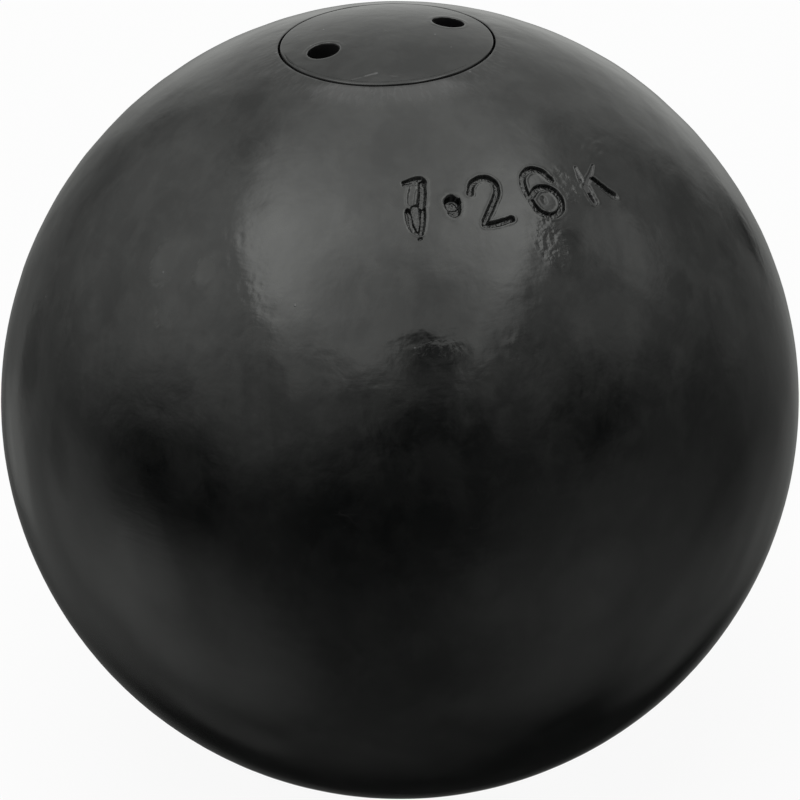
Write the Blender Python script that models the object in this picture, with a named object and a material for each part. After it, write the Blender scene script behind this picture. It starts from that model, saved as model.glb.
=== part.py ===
"""A men's competition shot: a painted cast-iron ball, bored from the top, with a cavity that
holds lead pellets under felt wads and is closed by a flush screw plug on a sealing washer.

Units are metres, +Z is up along the plug's axis, and the origin is the centre of the ball.
The ball's front, which carries its weight mark, faces -Y.
"""

import math

import bmesh
import bpy
from mathutils import Vector

MM = 0.001

# Driving dimensions of the ball and of the hole in it
BALL_DIAMETER = 125.0 * MM
CAVITY_DIAMETER = 25.0 * MM             # the tapping drill, left plain below the thread
CAVITY_APEX_Z = -22.0 * MM              # where the drill's point ends
DRILL_POINT_ANGLE = math.radians(118.0)
NECK_CHAMFER = 1.0 * MM                 # at the mouth of the thread
THREAD_RUNOUT = 3.0 * MM                # tapped length below the plug's end

# Driving dimensions of the plug and its washer
COLLAR_DIAMETER = 32.0 * MM
COLLAR_THICKNESS = 6.4 * MM             # at its edge
THREAD_DIAMETER = 27.0 * MM
THREAD_PITCH = 2.0 * MM
PLUG_LENGTH = 16.0 * MM                 # below the collar
UNDERCUT_LENGTH = 3.0 * MM
UNDERCUT_DEPTH = 0.7 * MM
LEAD_IN = 1.2 * MM
SPANNER_HOLE_DIAMETER = 4.8 * MM
SPANNER_HOLE_DEPTH = 5.5 * MM           # to the end of the straight wall
SPANNER_CIRCLE_DIAMETER = 21.0 * MM
PLUG_REST_ANGLE = math.radians(26.7)    # of the two holes from the ball's X axis
WASHER_THICKNESS = 2.0 * MM
WASHER_CLEARANCE = 0.15 * MM            # round the thread, and a third of it inside the seat

# Driving dimensions of what the cavity holds
PELLET_DIAMETER = 8.0 * MM
PELLETS_PER_RING = 6
PELLET_LAYERS = 5
WAD_COUNT = 2
WAD_ROUNDING = 0.8 * MM

# Fits and edges
GAP = 0.3 * MM                          # between pieces that touch
EDGE_BREAK = 0.3 * MM
PITCH_LINE_DEPTH = 0.325 * THREAD_PITCH  # half the height of a 60 degree thread

# Facets
TURNED_STEPS = 64
BALL_ARC_STEP = math.radians(5.0)
DOME_ARC_STEP = math.radians(2.5)
HOLE_STEPS = 24
PELLET_SEGMENTS = 12
PELLET_RINGS = 8
SMOOTH_ANGLE = math.radians(30.0)
MERGE_DISTANCE = 0.001 * MM

# Radii that follow from the dimensions
BALL_RADIUS = BALL_DIAMETER / 2
CAVITY_RADIUS = CAVITY_DIAMETER / 2
COLLAR_RADIUS = COLLAR_DIAMETER / 2
COUNTERBORE_RADIUS = COLLAR_RADIUS + GAP
THREAD_RADIUS = THREAD_DIAMETER / 2
SHANK_RADIUS = THREAD_RADIUS - PITCH_LINE_DEPTH - GAP / 2
TAPPED_RADIUS = THREAD_RADIUS - PITCH_LINE_DEPTH + GAP / 2
UNDERCUT_RADIUS = SHANK_RADIUS - UNDERCUT_DEPTH
SPANNER_RADIUS = SPANNER_HOLE_DIAMETER / 2
SPANNER_OFFSET = SPANNER_CIRCLE_DIAMETER / 2
PELLET_RADIUS = PELLET_DIAMETER / 2
DRILL_HALF_ANGLE = DRILL_POINT_ANGLE / 2


def sphere_height(radius):
    """The height of the ball's upper surface at a distance from its vertical axis."""
    return math.sqrt(BALL_RADIUS**2 - radius**2)


def drill_point_length(radius):
    """How far a drill of this radius reaches beyond its straight wall."""
    return radius / math.tan(DRILL_HALF_ANGLE)


# Heights that follow from the dimensions
COLLAR_UNDERSIDE_Z = sphere_height(COLLAR_RADIUS) - COLLAR_THICKNESS
WASHER_Z = COLLAR_UNDERSIDE_Z - GAP - WASHER_THICKNESS / 2
SEAT_Z = COLLAR_UNDERSIDE_Z - 2 * GAP - WASHER_THICKNESS
PLUG_END_Z = COLLAR_UNDERSIDE_Z - PLUG_LENGTH
TAPPED_END_Z = PLUG_END_Z - THREAD_RUNOUT
CAVITY_CONE_Z = CAVITY_APEX_Z + drill_point_length(CAVITY_RADIUS)


def clear_scene():
    """Removes what the start-up file holds."""
    for thing in list(bpy.data.objects):
        bpy.data.objects.remove(thing)


def make_material(name, colour, roughness, metallic):
    """A plain finish for one kind of piece."""
    material = bpy.data.materials.new(name)
    material.use_nodes = True
    shader = material.node_tree.nodes["Principled BSDF"]
    shader.inputs["Base Color"].default_value = (*colour, 1.0)
    shader.inputs["Roughness"].default_value = roughness
    shader.inputs["Metallic"].default_value = metallic
    return material


def make_empty(name, parent=None):
    """An empty at the ball's centre, for pieces to hang from."""
    empty = bpy.data.objects.new(name, None)
    bpy.context.scene.collection.objects.link(empty)
    empty.parent = parent
    return empty


def make_piece(bm, name, material, parent, location=(0.0, 0.0, 0.0)):
    """Turns a bmesh into a named object whose round faces shade smooth."""
    bmesh.ops.remove_doubles(bm, verts=bm.verts, dist=MERGE_DISTANCE)
    bmesh.ops.recalc_face_normals(bm, faces=bm.faces)
    mesh = bpy.data.meshes.new(name)
    bm.to_mesh(mesh)
    bm.free()
    mesh.shade_smooth()
    mesh.set_sharp_from_angle(angle=SMOOTH_ANGLE)
    if material:
        mesh.materials.append(material)
    piece = bpy.data.objects.new(name, mesh)
    bpy.context.scene.collection.objects.link(piece)
    piece.parent = parent
    piece.location = location
    return piece


def turned(profile, steps=TURNED_STEPS, closed=False):
    """A bmesh turned about the Z axis from (radius, height) points.

    An open profile starts and ends on the axis. A closed one is a ring's section.
    """
    bm = bmesh.new()
    points = [bm.verts.new((radius, 0.0, height)) for radius, height in profile]
    pairs = list(zip(points, points[1:]))
    if closed:
        pairs.append((points[-1], points[0]))
    edges = [bm.edges.new(pair) for pair in pairs]
    bmesh.ops.spin(
        bm, geom=points + edges, cent=(0, 0, 0), axis=(0, 0, 1),
        angle=math.tau, steps=steps, use_merge=True,
    )
    return bm


def ball_arc(start, end, step):
    """(radius, height) points on the ball between two angles from its top."""
    count = round(abs(end - start) / step)
    angles = [start + (end - start) * i / count for i in range(count + 1)]
    return [(BALL_RADIUS * math.sin(angle), BALL_RADIUS * math.cos(angle)) for angle in angles]


def make_ball_shell(material, parent):
    """The cast ball with its counterbore, washer seat, tapped neck and drilled cavity."""
    rim_radius = COUNTERBORE_RADIUS + EDGE_BREAK
    rim_angle = math.asin(rim_radius / BALL_RADIUS)
    lower = ball_arc(math.pi, math.pi / 2, BALL_ARC_STEP)
    upper = ball_arc(math.pi / 2, rim_angle, BALL_ARC_STEP)
    hole = [
        (COUNTERBORE_RADIUS, sphere_height(rim_radius) - EDGE_BREAK),
        (COUNTERBORE_RADIUS, SEAT_Z),
        (TAPPED_RADIUS + NECK_CHAMFER, SEAT_Z),
        (TAPPED_RADIUS, SEAT_Z - NECK_CHAMFER),
        (TAPPED_RADIUS, TAPPED_END_Z),
        (CAVITY_RADIUS, TAPPED_END_Z - (TAPPED_RADIUS - CAVITY_RADIUS)),
        (CAVITY_RADIUS, CAVITY_CONE_Z),
        (0.0, CAVITY_APEX_Z),
    ]
    return make_piece(turned(lower + upper[1:] + hole), "ball_shell", material, parent)


def make_spanner_hole_cutter(number, side, plug):
    """A drill shape for one of the plug's two blind spanner holes."""
    mouth = sphere_height(SPANNER_OFFSET) - COLLAR_UNDERSIDE_Z
    above = mouth + SPANNER_RADIUS
    wall_end = mouth - SPANNER_HOLE_DEPTH
    profile = [
        (0.0, above),
        (SPANNER_RADIUS, above),
        (SPANNER_RADIUS, wall_end),
        (0.0, wall_end - drill_point_length(SPANNER_RADIUS)),
    ]
    place = (side * SPANNER_OFFSET, 0.0, 0.0)
    drill = turned(profile, HOLE_STEPS)
    cutter = make_piece(drill, f"spanner_hole_cutter_{number}", None, plug, place)
    cutter.hide_render = True
    cutter.display_type = "WIRE"
    return cutter


def make_screw_plug(material, parent):
    """The flush plug: a domed collar with two spanner holes, an undercut and a shank.

    Its own origin lies on the collar's underside.
    """
    edge_radius = COLLAR_RADIUS - EDGE_BREAK
    dome = ball_arc(0.0, math.asin(edge_radius / BALL_RADIUS), DOME_ARC_STEP)
    profile = [(radius, height - COLLAR_UNDERSIDE_Z) for radius, height in dome]
    profile += [
        (COLLAR_RADIUS, profile[-1][1] - EDGE_BREAK),
        (COLLAR_RADIUS, EDGE_BREAK),
        (edge_radius, 0.0),
        (UNDERCUT_RADIUS, 0.0),
        (UNDERCUT_RADIUS, -UNDERCUT_LENGTH),
        (SHANK_RADIUS, -UNDERCUT_LENGTH - UNDERCUT_DEPTH),
        (SHANK_RADIUS, -PLUG_LENGTH + LEAD_IN),
        (SHANK_RADIUS - LEAD_IN, -PLUG_LENGTH),
        (0.0, -PLUG_LENGTH),
    ]
    place = (0.0, 0.0, COLLAR_UNDERSIDE_Z)
    plug = make_piece(turned(profile), "screw_plug", material, parent, place)
    plug.rotation_euler.z = PLUG_REST_ANGLE
    for number, side in enumerate((-1, 1), start=1):
        hole = plug.modifiers.new(f"spanner_hole_{number}", "BOOLEAN")
        hole.operation = "DIFFERENCE"
        hole.object = make_spanner_hole_cutter(number, side, plug)
    return plug


def make_sealing_washer(material, parent):
    """The soft metal ring that the collar presses on the seat."""
    inner = THREAD_RADIUS + WASHER_CLEARANCE
    outer = COLLAR_RADIUS - WASHER_CLEARANCE / 3
    half = WASHER_THICKNESS / 2
    section = [
        (outer - EDGE_BREAK, half),
        (outer, half - EDGE_BREAK),
        (outer, EDGE_BREAK - half),
        (outer - EDGE_BREAK, -half),
        (inner, -half),
        (inner, half),
    ]
    ring = turned(section, closed=True)
    return make_piece(ring, "sealing_washer", material, parent, (0.0, 0.0, WASHER_Z))


def pellet_places():
    """The centres of the packed pellets: a column on the axis inside rings of six.

    The lowest pellets rest on the cone that the drill left. Each ring is turned by half a
    step, so that its pellets sit in the hollows of the ring below.
    """
    reach = PELLET_RADIUS + GAP
    spacing = PELLET_DIAMETER + GAP
    half_step = math.pi / PELLETS_PER_RING
    sideways = 2 * spacing * math.sin(half_step / 2)
    ring_rise = math.sqrt(spacing**2 - sideways**2)
    column_base = CAVITY_APEX_Z + reach / math.sin(DRILL_HALF_ANGLE)
    ring_base = column_base + spacing / math.tan(DRILL_HALF_ANGLE)
    places = []
    for layer in range(PELLET_LAYERS):
        places.append(Vector((0.0, 0.0, column_base + layer * spacing)))
        for place in range(PELLETS_PER_RING):
            angle = (2 * place + layer % 2) * half_step
            x, y = spacing * math.cos(angle), spacing * math.sin(angle)
            places.append(Vector((x, y, ring_base + layer * ring_rise)))
    return places


def make_pellets(material, parent):
    """The lead that trims the ball to its weight, one object for each pellet."""
    pellets = []
    for number, place in enumerate(pellet_places(), start=1):
        bm = bmesh.new()
        bmesh.ops.create_uvsphere(
            bm, u_segments=PELLET_SEGMENTS, v_segments=PELLET_RINGS, radius=PELLET_RADIUS,
        )
        pellets.append(make_piece(bm, f"lead_pellet_{number:02d}", material, parent, place))
    return pellets


def make_felt_wads(material, parent):
    """The felt discs that fill the cavity between the pellets and the plug."""
    floor = max(place.z for place in pellet_places()) + PELLET_RADIUS + GAP
    thickness = (PLUG_END_Z - floor) / WAD_COUNT - GAP
    radius = CAVITY_RADIUS - GAP
    profile = [
        (0.0, thickness),
        (radius - WAD_ROUNDING, thickness),
        (radius, thickness - WAD_ROUNDING),
        (radius, WAD_ROUNDING),
        (radius - WAD_ROUNDING, 0.0),
        (0.0, 0.0),
    ]
    wads = []
    for number in range(WAD_COUNT):
        place = (0.0, 0.0, floor + number * (thickness + GAP))
        wads.append(make_piece(turned(profile), f"felt_wad_{number + 1}", material, parent, place))
    return wads


def main():
    """Builds the ball with what it holds, and the plug and washer on the plug's axis."""
    clear_scene()
    ball_paint = make_material("black_ball_paint", (0.012, 0.012, 0.013), 0.32, 0.0)
    plug_paint = make_material("black_plug_paint", (0.014, 0.014, 0.015), 0.38, 0.0)
    copper = make_material("annealed_copper", (0.72, 0.38, 0.24), 0.35, 1.0)
    felt = make_material("grey_felt", (0.32, 0.30, 0.27), 0.95, 0.0)
    lead = make_material("dull_lead", (0.24, 0.25, 0.27), 0.55, 0.9)

    ball = make_empty("ball")
    plug_axis = make_empty("plug_axis", ball)
    make_ball_shell(ball_paint, ball)
    make_pellets(lead, ball)
    make_felt_wads(felt, ball)
    make_sealing_washer(copper, plug_axis)
    make_screw_plug(plug_paint, plug_axis)


main()
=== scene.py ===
"""The looks of a shot put: its enamelled iron ball, flush screw plug, washer, felt and lead.

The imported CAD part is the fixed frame. Sizes are in millimetres while a piece is shaped, and a
finished piece is in metres with its place in its mesh. The ball's centre is the origin, the plug's
axis is +Z, and the ball's struck weight mark faces -Y.
"""

import logging
import math
from collections.abc import Callable, Iterable
from dataclasses import dataclass, field
from enum import Enum
from functools import cache

import bmesh
import bpy
from mathutils import Matrix, Vector, kdtree, noise


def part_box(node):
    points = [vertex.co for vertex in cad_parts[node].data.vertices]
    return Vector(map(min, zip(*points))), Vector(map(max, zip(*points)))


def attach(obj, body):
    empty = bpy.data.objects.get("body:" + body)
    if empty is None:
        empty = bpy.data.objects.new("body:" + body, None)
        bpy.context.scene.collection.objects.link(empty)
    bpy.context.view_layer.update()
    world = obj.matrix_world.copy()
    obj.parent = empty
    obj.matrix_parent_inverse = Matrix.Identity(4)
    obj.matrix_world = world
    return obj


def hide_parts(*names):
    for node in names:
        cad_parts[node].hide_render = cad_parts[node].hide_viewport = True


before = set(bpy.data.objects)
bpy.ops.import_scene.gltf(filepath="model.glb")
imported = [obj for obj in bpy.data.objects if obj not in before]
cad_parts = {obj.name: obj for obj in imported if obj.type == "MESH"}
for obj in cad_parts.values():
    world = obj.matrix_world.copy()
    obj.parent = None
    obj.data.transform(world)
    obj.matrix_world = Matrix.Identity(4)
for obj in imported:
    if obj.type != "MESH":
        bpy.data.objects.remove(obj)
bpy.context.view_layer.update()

MM = 0.001
LOG = logging.getLogger("shot_put")
BALL_RADIUS = 62.5
MOST_RADIUS = BALL_RADIUS - 0.001
CENTRE = Vector((0.0, 0.0, 0.0))
UP = Vector((0.0, 0.0, 1.0))

Point = tuple[float, float]
Colour = tuple[float, float, float]
Triple = tuple[float, float, float]
Mesh = bmesh.types.BMesh
Vert, Edge = bmesh.types.BMVert, bmesh.types.BMEdge
Loop = list[Edge]
Rule = Callable[[Vector], Vector]
Finish = bpy.types.Material
Socket = bpy.types.NodeSocket
Inputs = dict[str | int, object]
Number = float | Socket
Place = Triple | Vector | Socket
Tone = Colour | Socket


class Body(Enum):
    """The CAD bodies that pieces ride on."""

    BALL = "ball"
    WASHER = "washer"
    PLUG = "plug"


class Slot(Enum):
    """The material slots."""

    BALL_PAINT = "ball_paint"
    PLUG_PAINT = "plug_paint"
    COPPER = "copper"
    FELT = "felt"
    LEAD = "lead"


class Coat(Enum):
    """What covers a face of a painted piece, as the number of its material."""

    ENAMEL = 0
    BARE = 1
    THIN_PAINT = 2


# Shaping helpers


def clamp(value: float) -> float:
    """Returns a value kept between 0 and 1."""
    return max(0.0, min(1.0, value))


def ease(value: float) -> float:
    """Returns a smooth step from 0 to 1 for a value from 0 to 1."""
    value = clamp(value)
    return value * value * (3.0 - 2.0 * value)


def ripple(point: Vector, length: float, seed: float) -> float:
    """Returns seeded noise from about -1 to 1 at a point, with swells about length mm long."""
    return noise.noise(point * (1.7 / length) + Vector((seed, -seed, 2.0 * seed)))


def toward(longitude: float, latitude: float) -> Vector:
    """Returns the unit vector from the ball's centre, with longitude counted from -Y to +X."""
    lon, lat = math.radians(longitude), math.radians(latitude)
    return Vector((math.sin(lon) * math.cos(lat), -math.cos(lon) * math.cos(lat), math.sin(lat)))


def right_and_up(middle: Vector) -> tuple[Vector, Vector]:
    """Returns the directions to the right and up along the ball at a unit vector."""
    up = (UP - middle * middle.z).normalized()
    return up.cross(middle), up


def bearing(co: Vector) -> float:
    """Returns a point's angle round the axis in degrees, counted from -Y to +X."""
    return math.degrees(math.atan2(co.x, -co.y))


def spun(bm: Mesh, profile: Iterable[Point], steps: int, rise: float = 0.0) -> None:
    """Spins an open profile once round the Z axis.

    Args:
        bm: The mesh that takes the surface.
        profile: Points of the profile, each a radius and a height.
        steps: How many faces go round.
        rise: How far the profile climbs in the turn, which makes a screw.
    """
    verts = [bm.verts.new((radius, 0.0, height)) for radius, height in profile]
    edges = [bm.edges.new(pair) for pair in zip(verts, verts[1:])]
    bmesh.ops.spin(
        bm, geom=verts + edges, axis=UP, dvec=(0.0, 0.0, rise / steps), angle=math.tau, steps=steps,
        use_merge=rise == 0.0,
    )
    bmesh.ops.remove_doubles(bm, verts=bm.verts, dist=0.0005)


def open_loop(bm: Mesh, inside: Callable[[Vector], bool]) -> Loop:
    """Returns the open edges whose two ends both pass a test of their place."""
    rims = (edge for edge in bm.edges if len(edge.link_faces) == 1)
    return [edge for edge in rims if all(inside(vert.co) for vert in edge.verts)]


def drawn(bm: Mesh, loop: Loop, place: Rule) -> Loop:
    """Extrudes an open loop of edges once.

    Args:
        bm: The mesh that holds the loop.
        loop: The open edges.
        place: Gives a new vertex its place from its old one.

    Returns:
        The new open loop.
    """
    made = bmesh.ops.extrude_edge_only(bm, edges=loop)["geom"]
    fresh = {part for part in made if isinstance(part, Vert)}
    for vert in fresh:
        vert.co = place(vert.co)
    edges = (part for part in made if isinstance(part, Edge))
    return [edge for edge in edges if all(vert in fresh for vert in edge.verts)]


def to_point(bm: Mesh, loop: Loop, point: Vector) -> None:
    """Closes an open loop with faces that meet in one point.

    Args:
        bm: The mesh that holds the loop.
        loop: The open edges.
        point: Where they meet.
    """
    last = drawn(bm, loop, lambda co: co.lerp(point, 0.5))
    verts = list({vert for edge in last for vert in edge.verts})
    bmesh.ops.pointmerge(bm, verts=verts, merge_co=point)


def round_axis(radius: float, height: float, middle: Vector = CENTRE) -> Rule:
    """Gives the place rule for a circle round an upright axis.

    Args:
        radius: The circle's radius.
        height: Its height.
        middle: A point of the axis.

    Returns:
        The rule, which keeps a point's bearing from the axis.
    """

    def place(co: Vector) -> Vector:
        """Moves a point onto the circle.

        Args:
            co: The point.

        Returns:
            Its place on the circle.
        """
        off = co - middle
        scale = radius / math.hypot(off.x, off.y)
        return Vector((middle.x + off.x * scale, middle.y + off.y * scale, height))

    return place


@dataclass(frozen=True)
class ScrewThread:
    """A right-handed 60 degree thread as a helical surface."""

    major: float
    minor: float
    low: float
    high: float
    pitch: float = 2.0
    steps: int = 150

    def height(self, co: Vector) -> float:
        """Returns how far up the flank a point's place on the helix is, from 0 to 1."""
        phase = (co.z / self.pitch - math.atan2(co.y, co.x) / math.tau) % 1.0
        return clamp((3.0 / 8.0 - abs(phase - 0.5)) / (5.0 / 16.0))

    def shape(self, bm: Mesh, radius_at: Callable[[Vector, float], float]) -> Loop:
        """Makes the threaded tube, cut flat at both ends.

        Args:
            bm: The mesh that takes the thread.
            radius_at: Gives the final radius from a point and the thread's own radius there.

        Returns:
            The open loop at the high end.
        """
        turn = (0.0, 1 / 8, 9 / 32, 7 / 16, 9 / 16, 23 / 32, 7 / 8)
        first = math.floor(self.low / self.pitch) - 1
        count = math.ceil((self.high - self.low) / self.pitch) + 3
        own = bmesh.new()
        heights = [self.pitch * (first + whole + part) for whole in range(count) for part in turn]
        spun(own, [(self.minor, height) for height in heights], self.steps, self.pitch)
        for end, way in ((self.low, -UP), (self.high, UP)):
            geom = own.verts[:] + own.edges[:] + own.faces[:]
            cut = (0.0, 0.0, end)
            bmesh.ops.bisect_plane(own, geom=geom, plane_co=cut, plane_no=way, clear_outer=True)
        for vert in own.verts:
            plain = self.minor + (self.major - self.minor) * self.height(vert.co)
            vert.co = round_axis(radius_at(vert.co, plain), vert.co.z)(vert.co)
        mesh = bpy.data.meshes.new("thread")
        own.to_mesh(mesh)
        own.free()
        bm.from_mesh(mesh)
        bpy.data.meshes.remove(mesh)
        reach = self.major + 0.6
        return open_loop(bm, lambda co: abs(co.z - self.high) < 0.01 and co.xy.length < reach)


# Shader helpers


class Graph:
    """A node tree with short calls for adding nodes and wiring them."""

    def __init__(self, tree: bpy.types.NodeTree) -> None:
        """Takes the tree that the nodes go in."""
        self.tree = tree

    def node(self, kind: str, inputs: Inputs | None = None, **settings: object) -> bpy.types.Node:
        """Adds one node.

        Args:
            kind: The node's type, without the ShaderNode in front.
            inputs: A value, or a socket to link, for each input by name or number.
            **settings: The node's own properties.

        Returns:
            The new node.
        """
        made = self.tree.nodes.new(kind if kind.startswith("Node") else "ShaderNode" + kind)
        for name, value in settings.items():
            setattr(made, name, value)
        for key, value in (inputs or {}).items():
            if isinstance(value, Socket):
                self.tree.links.new(value, made.inputs[key])
            else:
                made.inputs[key].default_value = value
        return made

    def math(self, operation: str, first: Number, second: Number = 0.0, clamped: bool = False) -> Socket:
        """Returns the result of a Math node."""
        inputs = {0: first, 1: second}
        return self.node("Math", inputs, operation=operation, use_clamp=clamped).outputs[0]

    def chain(self, operation: str, first: Number, *others: Number) -> Number:
        """Takes numbers together, one Math node after another.

        Args:
            operation: What each node does.
            first: The number to start from.
            *others: The numbers that follow, in order.

        Returns:
            The last node's result.
        """
        for other in others:
            first = self.math(operation, first, other)
        return first

    def plus(self, *numbers: Number) -> Number:
        """Returns the sum of the numbers."""
        return self.chain("ADD", *numbers)

    def times(self, *numbers: Number) -> Number:
        """Returns the product of the numbers."""
        return self.chain("MULTIPLY", *numbers)

    def most(self, *numbers: Number) -> Number:
        """Returns the largest of the numbers."""
        return self.chain("MAXIMUM", *numbers)

    def less(self, *numbers: Number) -> Number:
        """Returns the first number, less the others."""
        return self.chain("SUBTRACT", *numbers)

    def vector(self, operation: str, first: Place, second: Place = CENTRE) -> Socket:
        """Takes two vectors together in a Vector Math node.

        Args:
            operation: What the node does.
            first: The first vector.
            second: The second vector.

        Returns:
            The result, a number for a length, a distance or a dot product.
        """
        made = self.node("VectorMath", {0: first, 1: second}, operation=operation)
        number = operation in ("LENGTH", "DISTANCE", "DOT_PRODUCT")
        return made.outputs["Value" if number else 0]

    def parts(self, vector: Socket) -> bpy.types.NodeOutputs:
        """Returns the three parts of a vector."""
        return self.node("SeparateXYZ", {0: vector}).outputs

    def joined(self, x: Number = 0.0, y: Number = 0.0, z: Number = 0.0) -> Socket:
        """Returns the vector of three parts."""
        return self.node("CombineXYZ", {0: x, 1: y, 2: z}).outputs[0]

    def remap(
        self, value: Number, low: Number, high: Number, to_low: float = 0.0, to_high: float = 1.0
    ) -> Socket:
        """Eases a value from one range to another.

        Args:
            value: The value.
            low: Where its range starts.
            high: Where its range ends.
            to_low: What it becomes at the start and before.
            to_high: What it becomes at the end and past it.

        Returns:
            The eased value.
        """
        inputs = {"Value": value, 1: low, 2: high, 3: to_low, 4: to_high}
        made = self.node("MapRange", inputs, interpolation_type="SMOOTHSTEP")
        return made.outputs["Result"]

    def noise(
        self, vector: Socket, scale: Number, detail: float = 2.0, roughness: float = 0.5, warp: float = 0.0
    ) -> Socket:
        """Returns the value of a Noise Texture."""
        grain = {"Scale": scale, "Detail": detail, "Roughness": roughness, "Distortion": warp}
        return self.node("TexNoise", {"Vector": vector, **grain}).outputs[0]

    def mix(self, factor: Number, first: Tone, second: Tone) -> Socket:
        """Mixes two colours.

        Args:
            factor: The second colour's share.
            first: The first colour.
            second: The second colour.

        Returns:
            The mixed colour.
        """
        tones = [tone if isinstance(tone, Socket) else (*tone, 1.0) for tone in (first, second)]
        inputs = {0: factor, 6: tones[0], 7: tones[1]}
        return self.node("Mix", inputs, data_type="RGBA").outputs[2]

    def mapped(
        self, vector: Socket, scale: Triple, turn: Triple, middle: Place = CENTRE, kind: str = "POINT"
    ) -> Socket:
        """Returns a vector moved, turned and stretched by a Mapping node."""
        inputs = {"Vector": vector, "Location": middle, "Rotation": turn, "Scale": scale}
        return self.node("Mapping", inputs, vector_type=kind).outputs[0]


class Effect:
    """A surface effect as a node group, built once and placed with each material's values."""

    def __init__(self, name: str, result: str, **knobs: float) -> None:
        """Makes the group's sockets.

        Args:
            name: The group's name.
            result: The name of its one output.
            **knobs: Its number inputs with their usual values.
        """
        self.tree = bpy.data.node_groups.new(name, "ShaderNodeTree")
        self.graph = Graph(self.tree)
        add = self.tree.interface.new_socket
        add("Vector", in_out="INPUT", socket_type="NodeSocketVector")
        for knob, value in knobs.items():
            add(knob, in_out="INPUT", socket_type="NodeSocketFloat").default_value = value
        add(result, in_out="OUTPUT", socket_type="NodeSocketFloat")
        self.given = self.graph.node("NodeGroupInput").outputs
        self.result = self.graph.node("NodeGroupOutput").inputs[0]

    def ends(self, socket: Socket) -> "Effect":
        """Wires a socket to the group's output and returns the effect."""
        self.tree.links.new(socket, self.result)
        return self


@cache
def orange_peel() -> Effect:
    """Makes the fine dimpled skin that sprayed enamel dries to.

    Returns:
        The effect, as a height.
    """
    effect = Effect("orange_peel", "Height", Scale=700.0)
    graph, vector, scale = effect.graph, effect.given["Vector"], effect.given["Scale"]
    fine = graph.noise(vector, graph.times(scale, 2.9))
    return effect.ends(graph.plus(graph.noise(vector, scale, 1.0, 0.4), graph.times(fine, 0.35)))


@cache
def brush_ripple() -> Effect:
    """Makes the faint swells that brushed and run paint dries with.

    Returns:
        The effect, as a height.
    """
    effect = Effect("brush_ripple", "Height", Scale=260.0, Length=7.0)
    graph, given = effect.graph, effect.given
    x, y, z = graph.parts(given["Vector"])
    across = graph.joined(graph.math("DIVIDE", x, given["Length"]), y, z)
    return effect.ends(graph.noise(across, given["Scale"], 3.0, 0.5, 0.4))


@cache
def round_streaks() -> Effect:
    """Makes streaks on a ball, by how many lie round it and from top to bottom.

    Returns:
        The effect, as a height.
    """
    effect = Effect("round_streaks", "Height", Round=8.0, Down=60.0)
    graph, vector, given = effect.graph, effect.given["Vector"], effect.given
    x, y, _ = graph.parts(vector)
    way = graph.vector("NORMALIZE", graph.joined(x, y))
    spread = graph.node("VectorMath", {0: way, "Scale": given["Round"]}, operation="SCALE").outputs[0]
    angle = graph.math("ARCSINE", graph.parts(graph.vector("NORMALIZE", vector))[2])
    drop = graph.joined(z=graph.times(angle, given["Down"]))
    return effect.ends(graph.noise(graph.vector("ADD", spread, drop), 1.0, warp=0.6))


@cache
def dust_specks() -> Effect:
    """Makes the rare specks of dust caught in paint.

    Returns:
        The effect, as a mask.
    """
    effect = Effect("dust_specks", "Mask", Scale=420.0, Share=0.08)
    graph, given = effect.graph, effect.given
    cells = graph.node("TexVoronoi", {"Vector": given["Vector"], "Scale": given["Scale"]}).outputs
    dot = graph.remap(cells["Distance"], 0.04, 0.1, 1.0, 0.0)
    pick = graph.node("SeparateColor", {0: cells["Color"]}).outputs[0]
    return effect.ends(graph.times(dot, graph.math("LESS_THAN", pick, given["Share"])))


@cache
def fine_scratches() -> Effect:
    """Makes hairline scratches that cross a surface in short runs.

    Returns:
        The effect, as a mask.
    """
    effect = Effect("fine_scratches", "Mask", Scale=90.0, Share=0.4)
    graph, vector, given = effect.graph, effect.given["Vector"], effect.given
    lines = []
    for turn in ((0.3, 0.5, 0.2), (1.2, 0.1, 1.9)):
        laid = graph.mapped(vector, (1.0, 9.0, 9.0), turn)
        band = graph.math("ABSOLUTE", graph.less(graph.noise(laid, given["Scale"], 0.0), 0.5))
        lines.append(graph.remap(band, 0.0, 0.006, 1.0, 0.0))
    gate = graph.noise(vector, graph.times(given["Scale"], 1.6), 1.0)
    kept = graph.math("LESS_THAN", gate, given["Share"])
    return effect.ends(graph.times(graph.most(*lines), kept))


@cache
def turned_rings() -> Effect:
    """Makes the fine rings that a lathe tool or a drill leaves round the axis.

    Returns:
        The effect, as a height.
    """
    effect = Effect("turned_rings", "Height", Scale=2600.0)
    graph = effect.graph
    x, y, z = graph.parts(effect.given["Vector"])
    reach = graph.vector("LENGTH", graph.joined(x, y))
    return effect.ends(graph.noise(graph.joined(reach, z), effect.given["Scale"], 2.0, 0.6))


@cache
def oxide_mottle() -> Effect:
    """Makes the cloudy stain of oxide and old oil.

    Returns:
        The effect, as a mask.
    """
    effect = Effect("oxide_mottle", "Mask", Scale=240.0, Low=0.4, High=0.65)
    graph, given = effect.graph, effect.given
    cloud = graph.noise(given["Vector"], given["Scale"], 5.0, 0.6, 0.3)
    return effect.ends(graph.remap(cloud, given["Low"], given["High"]))


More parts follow.
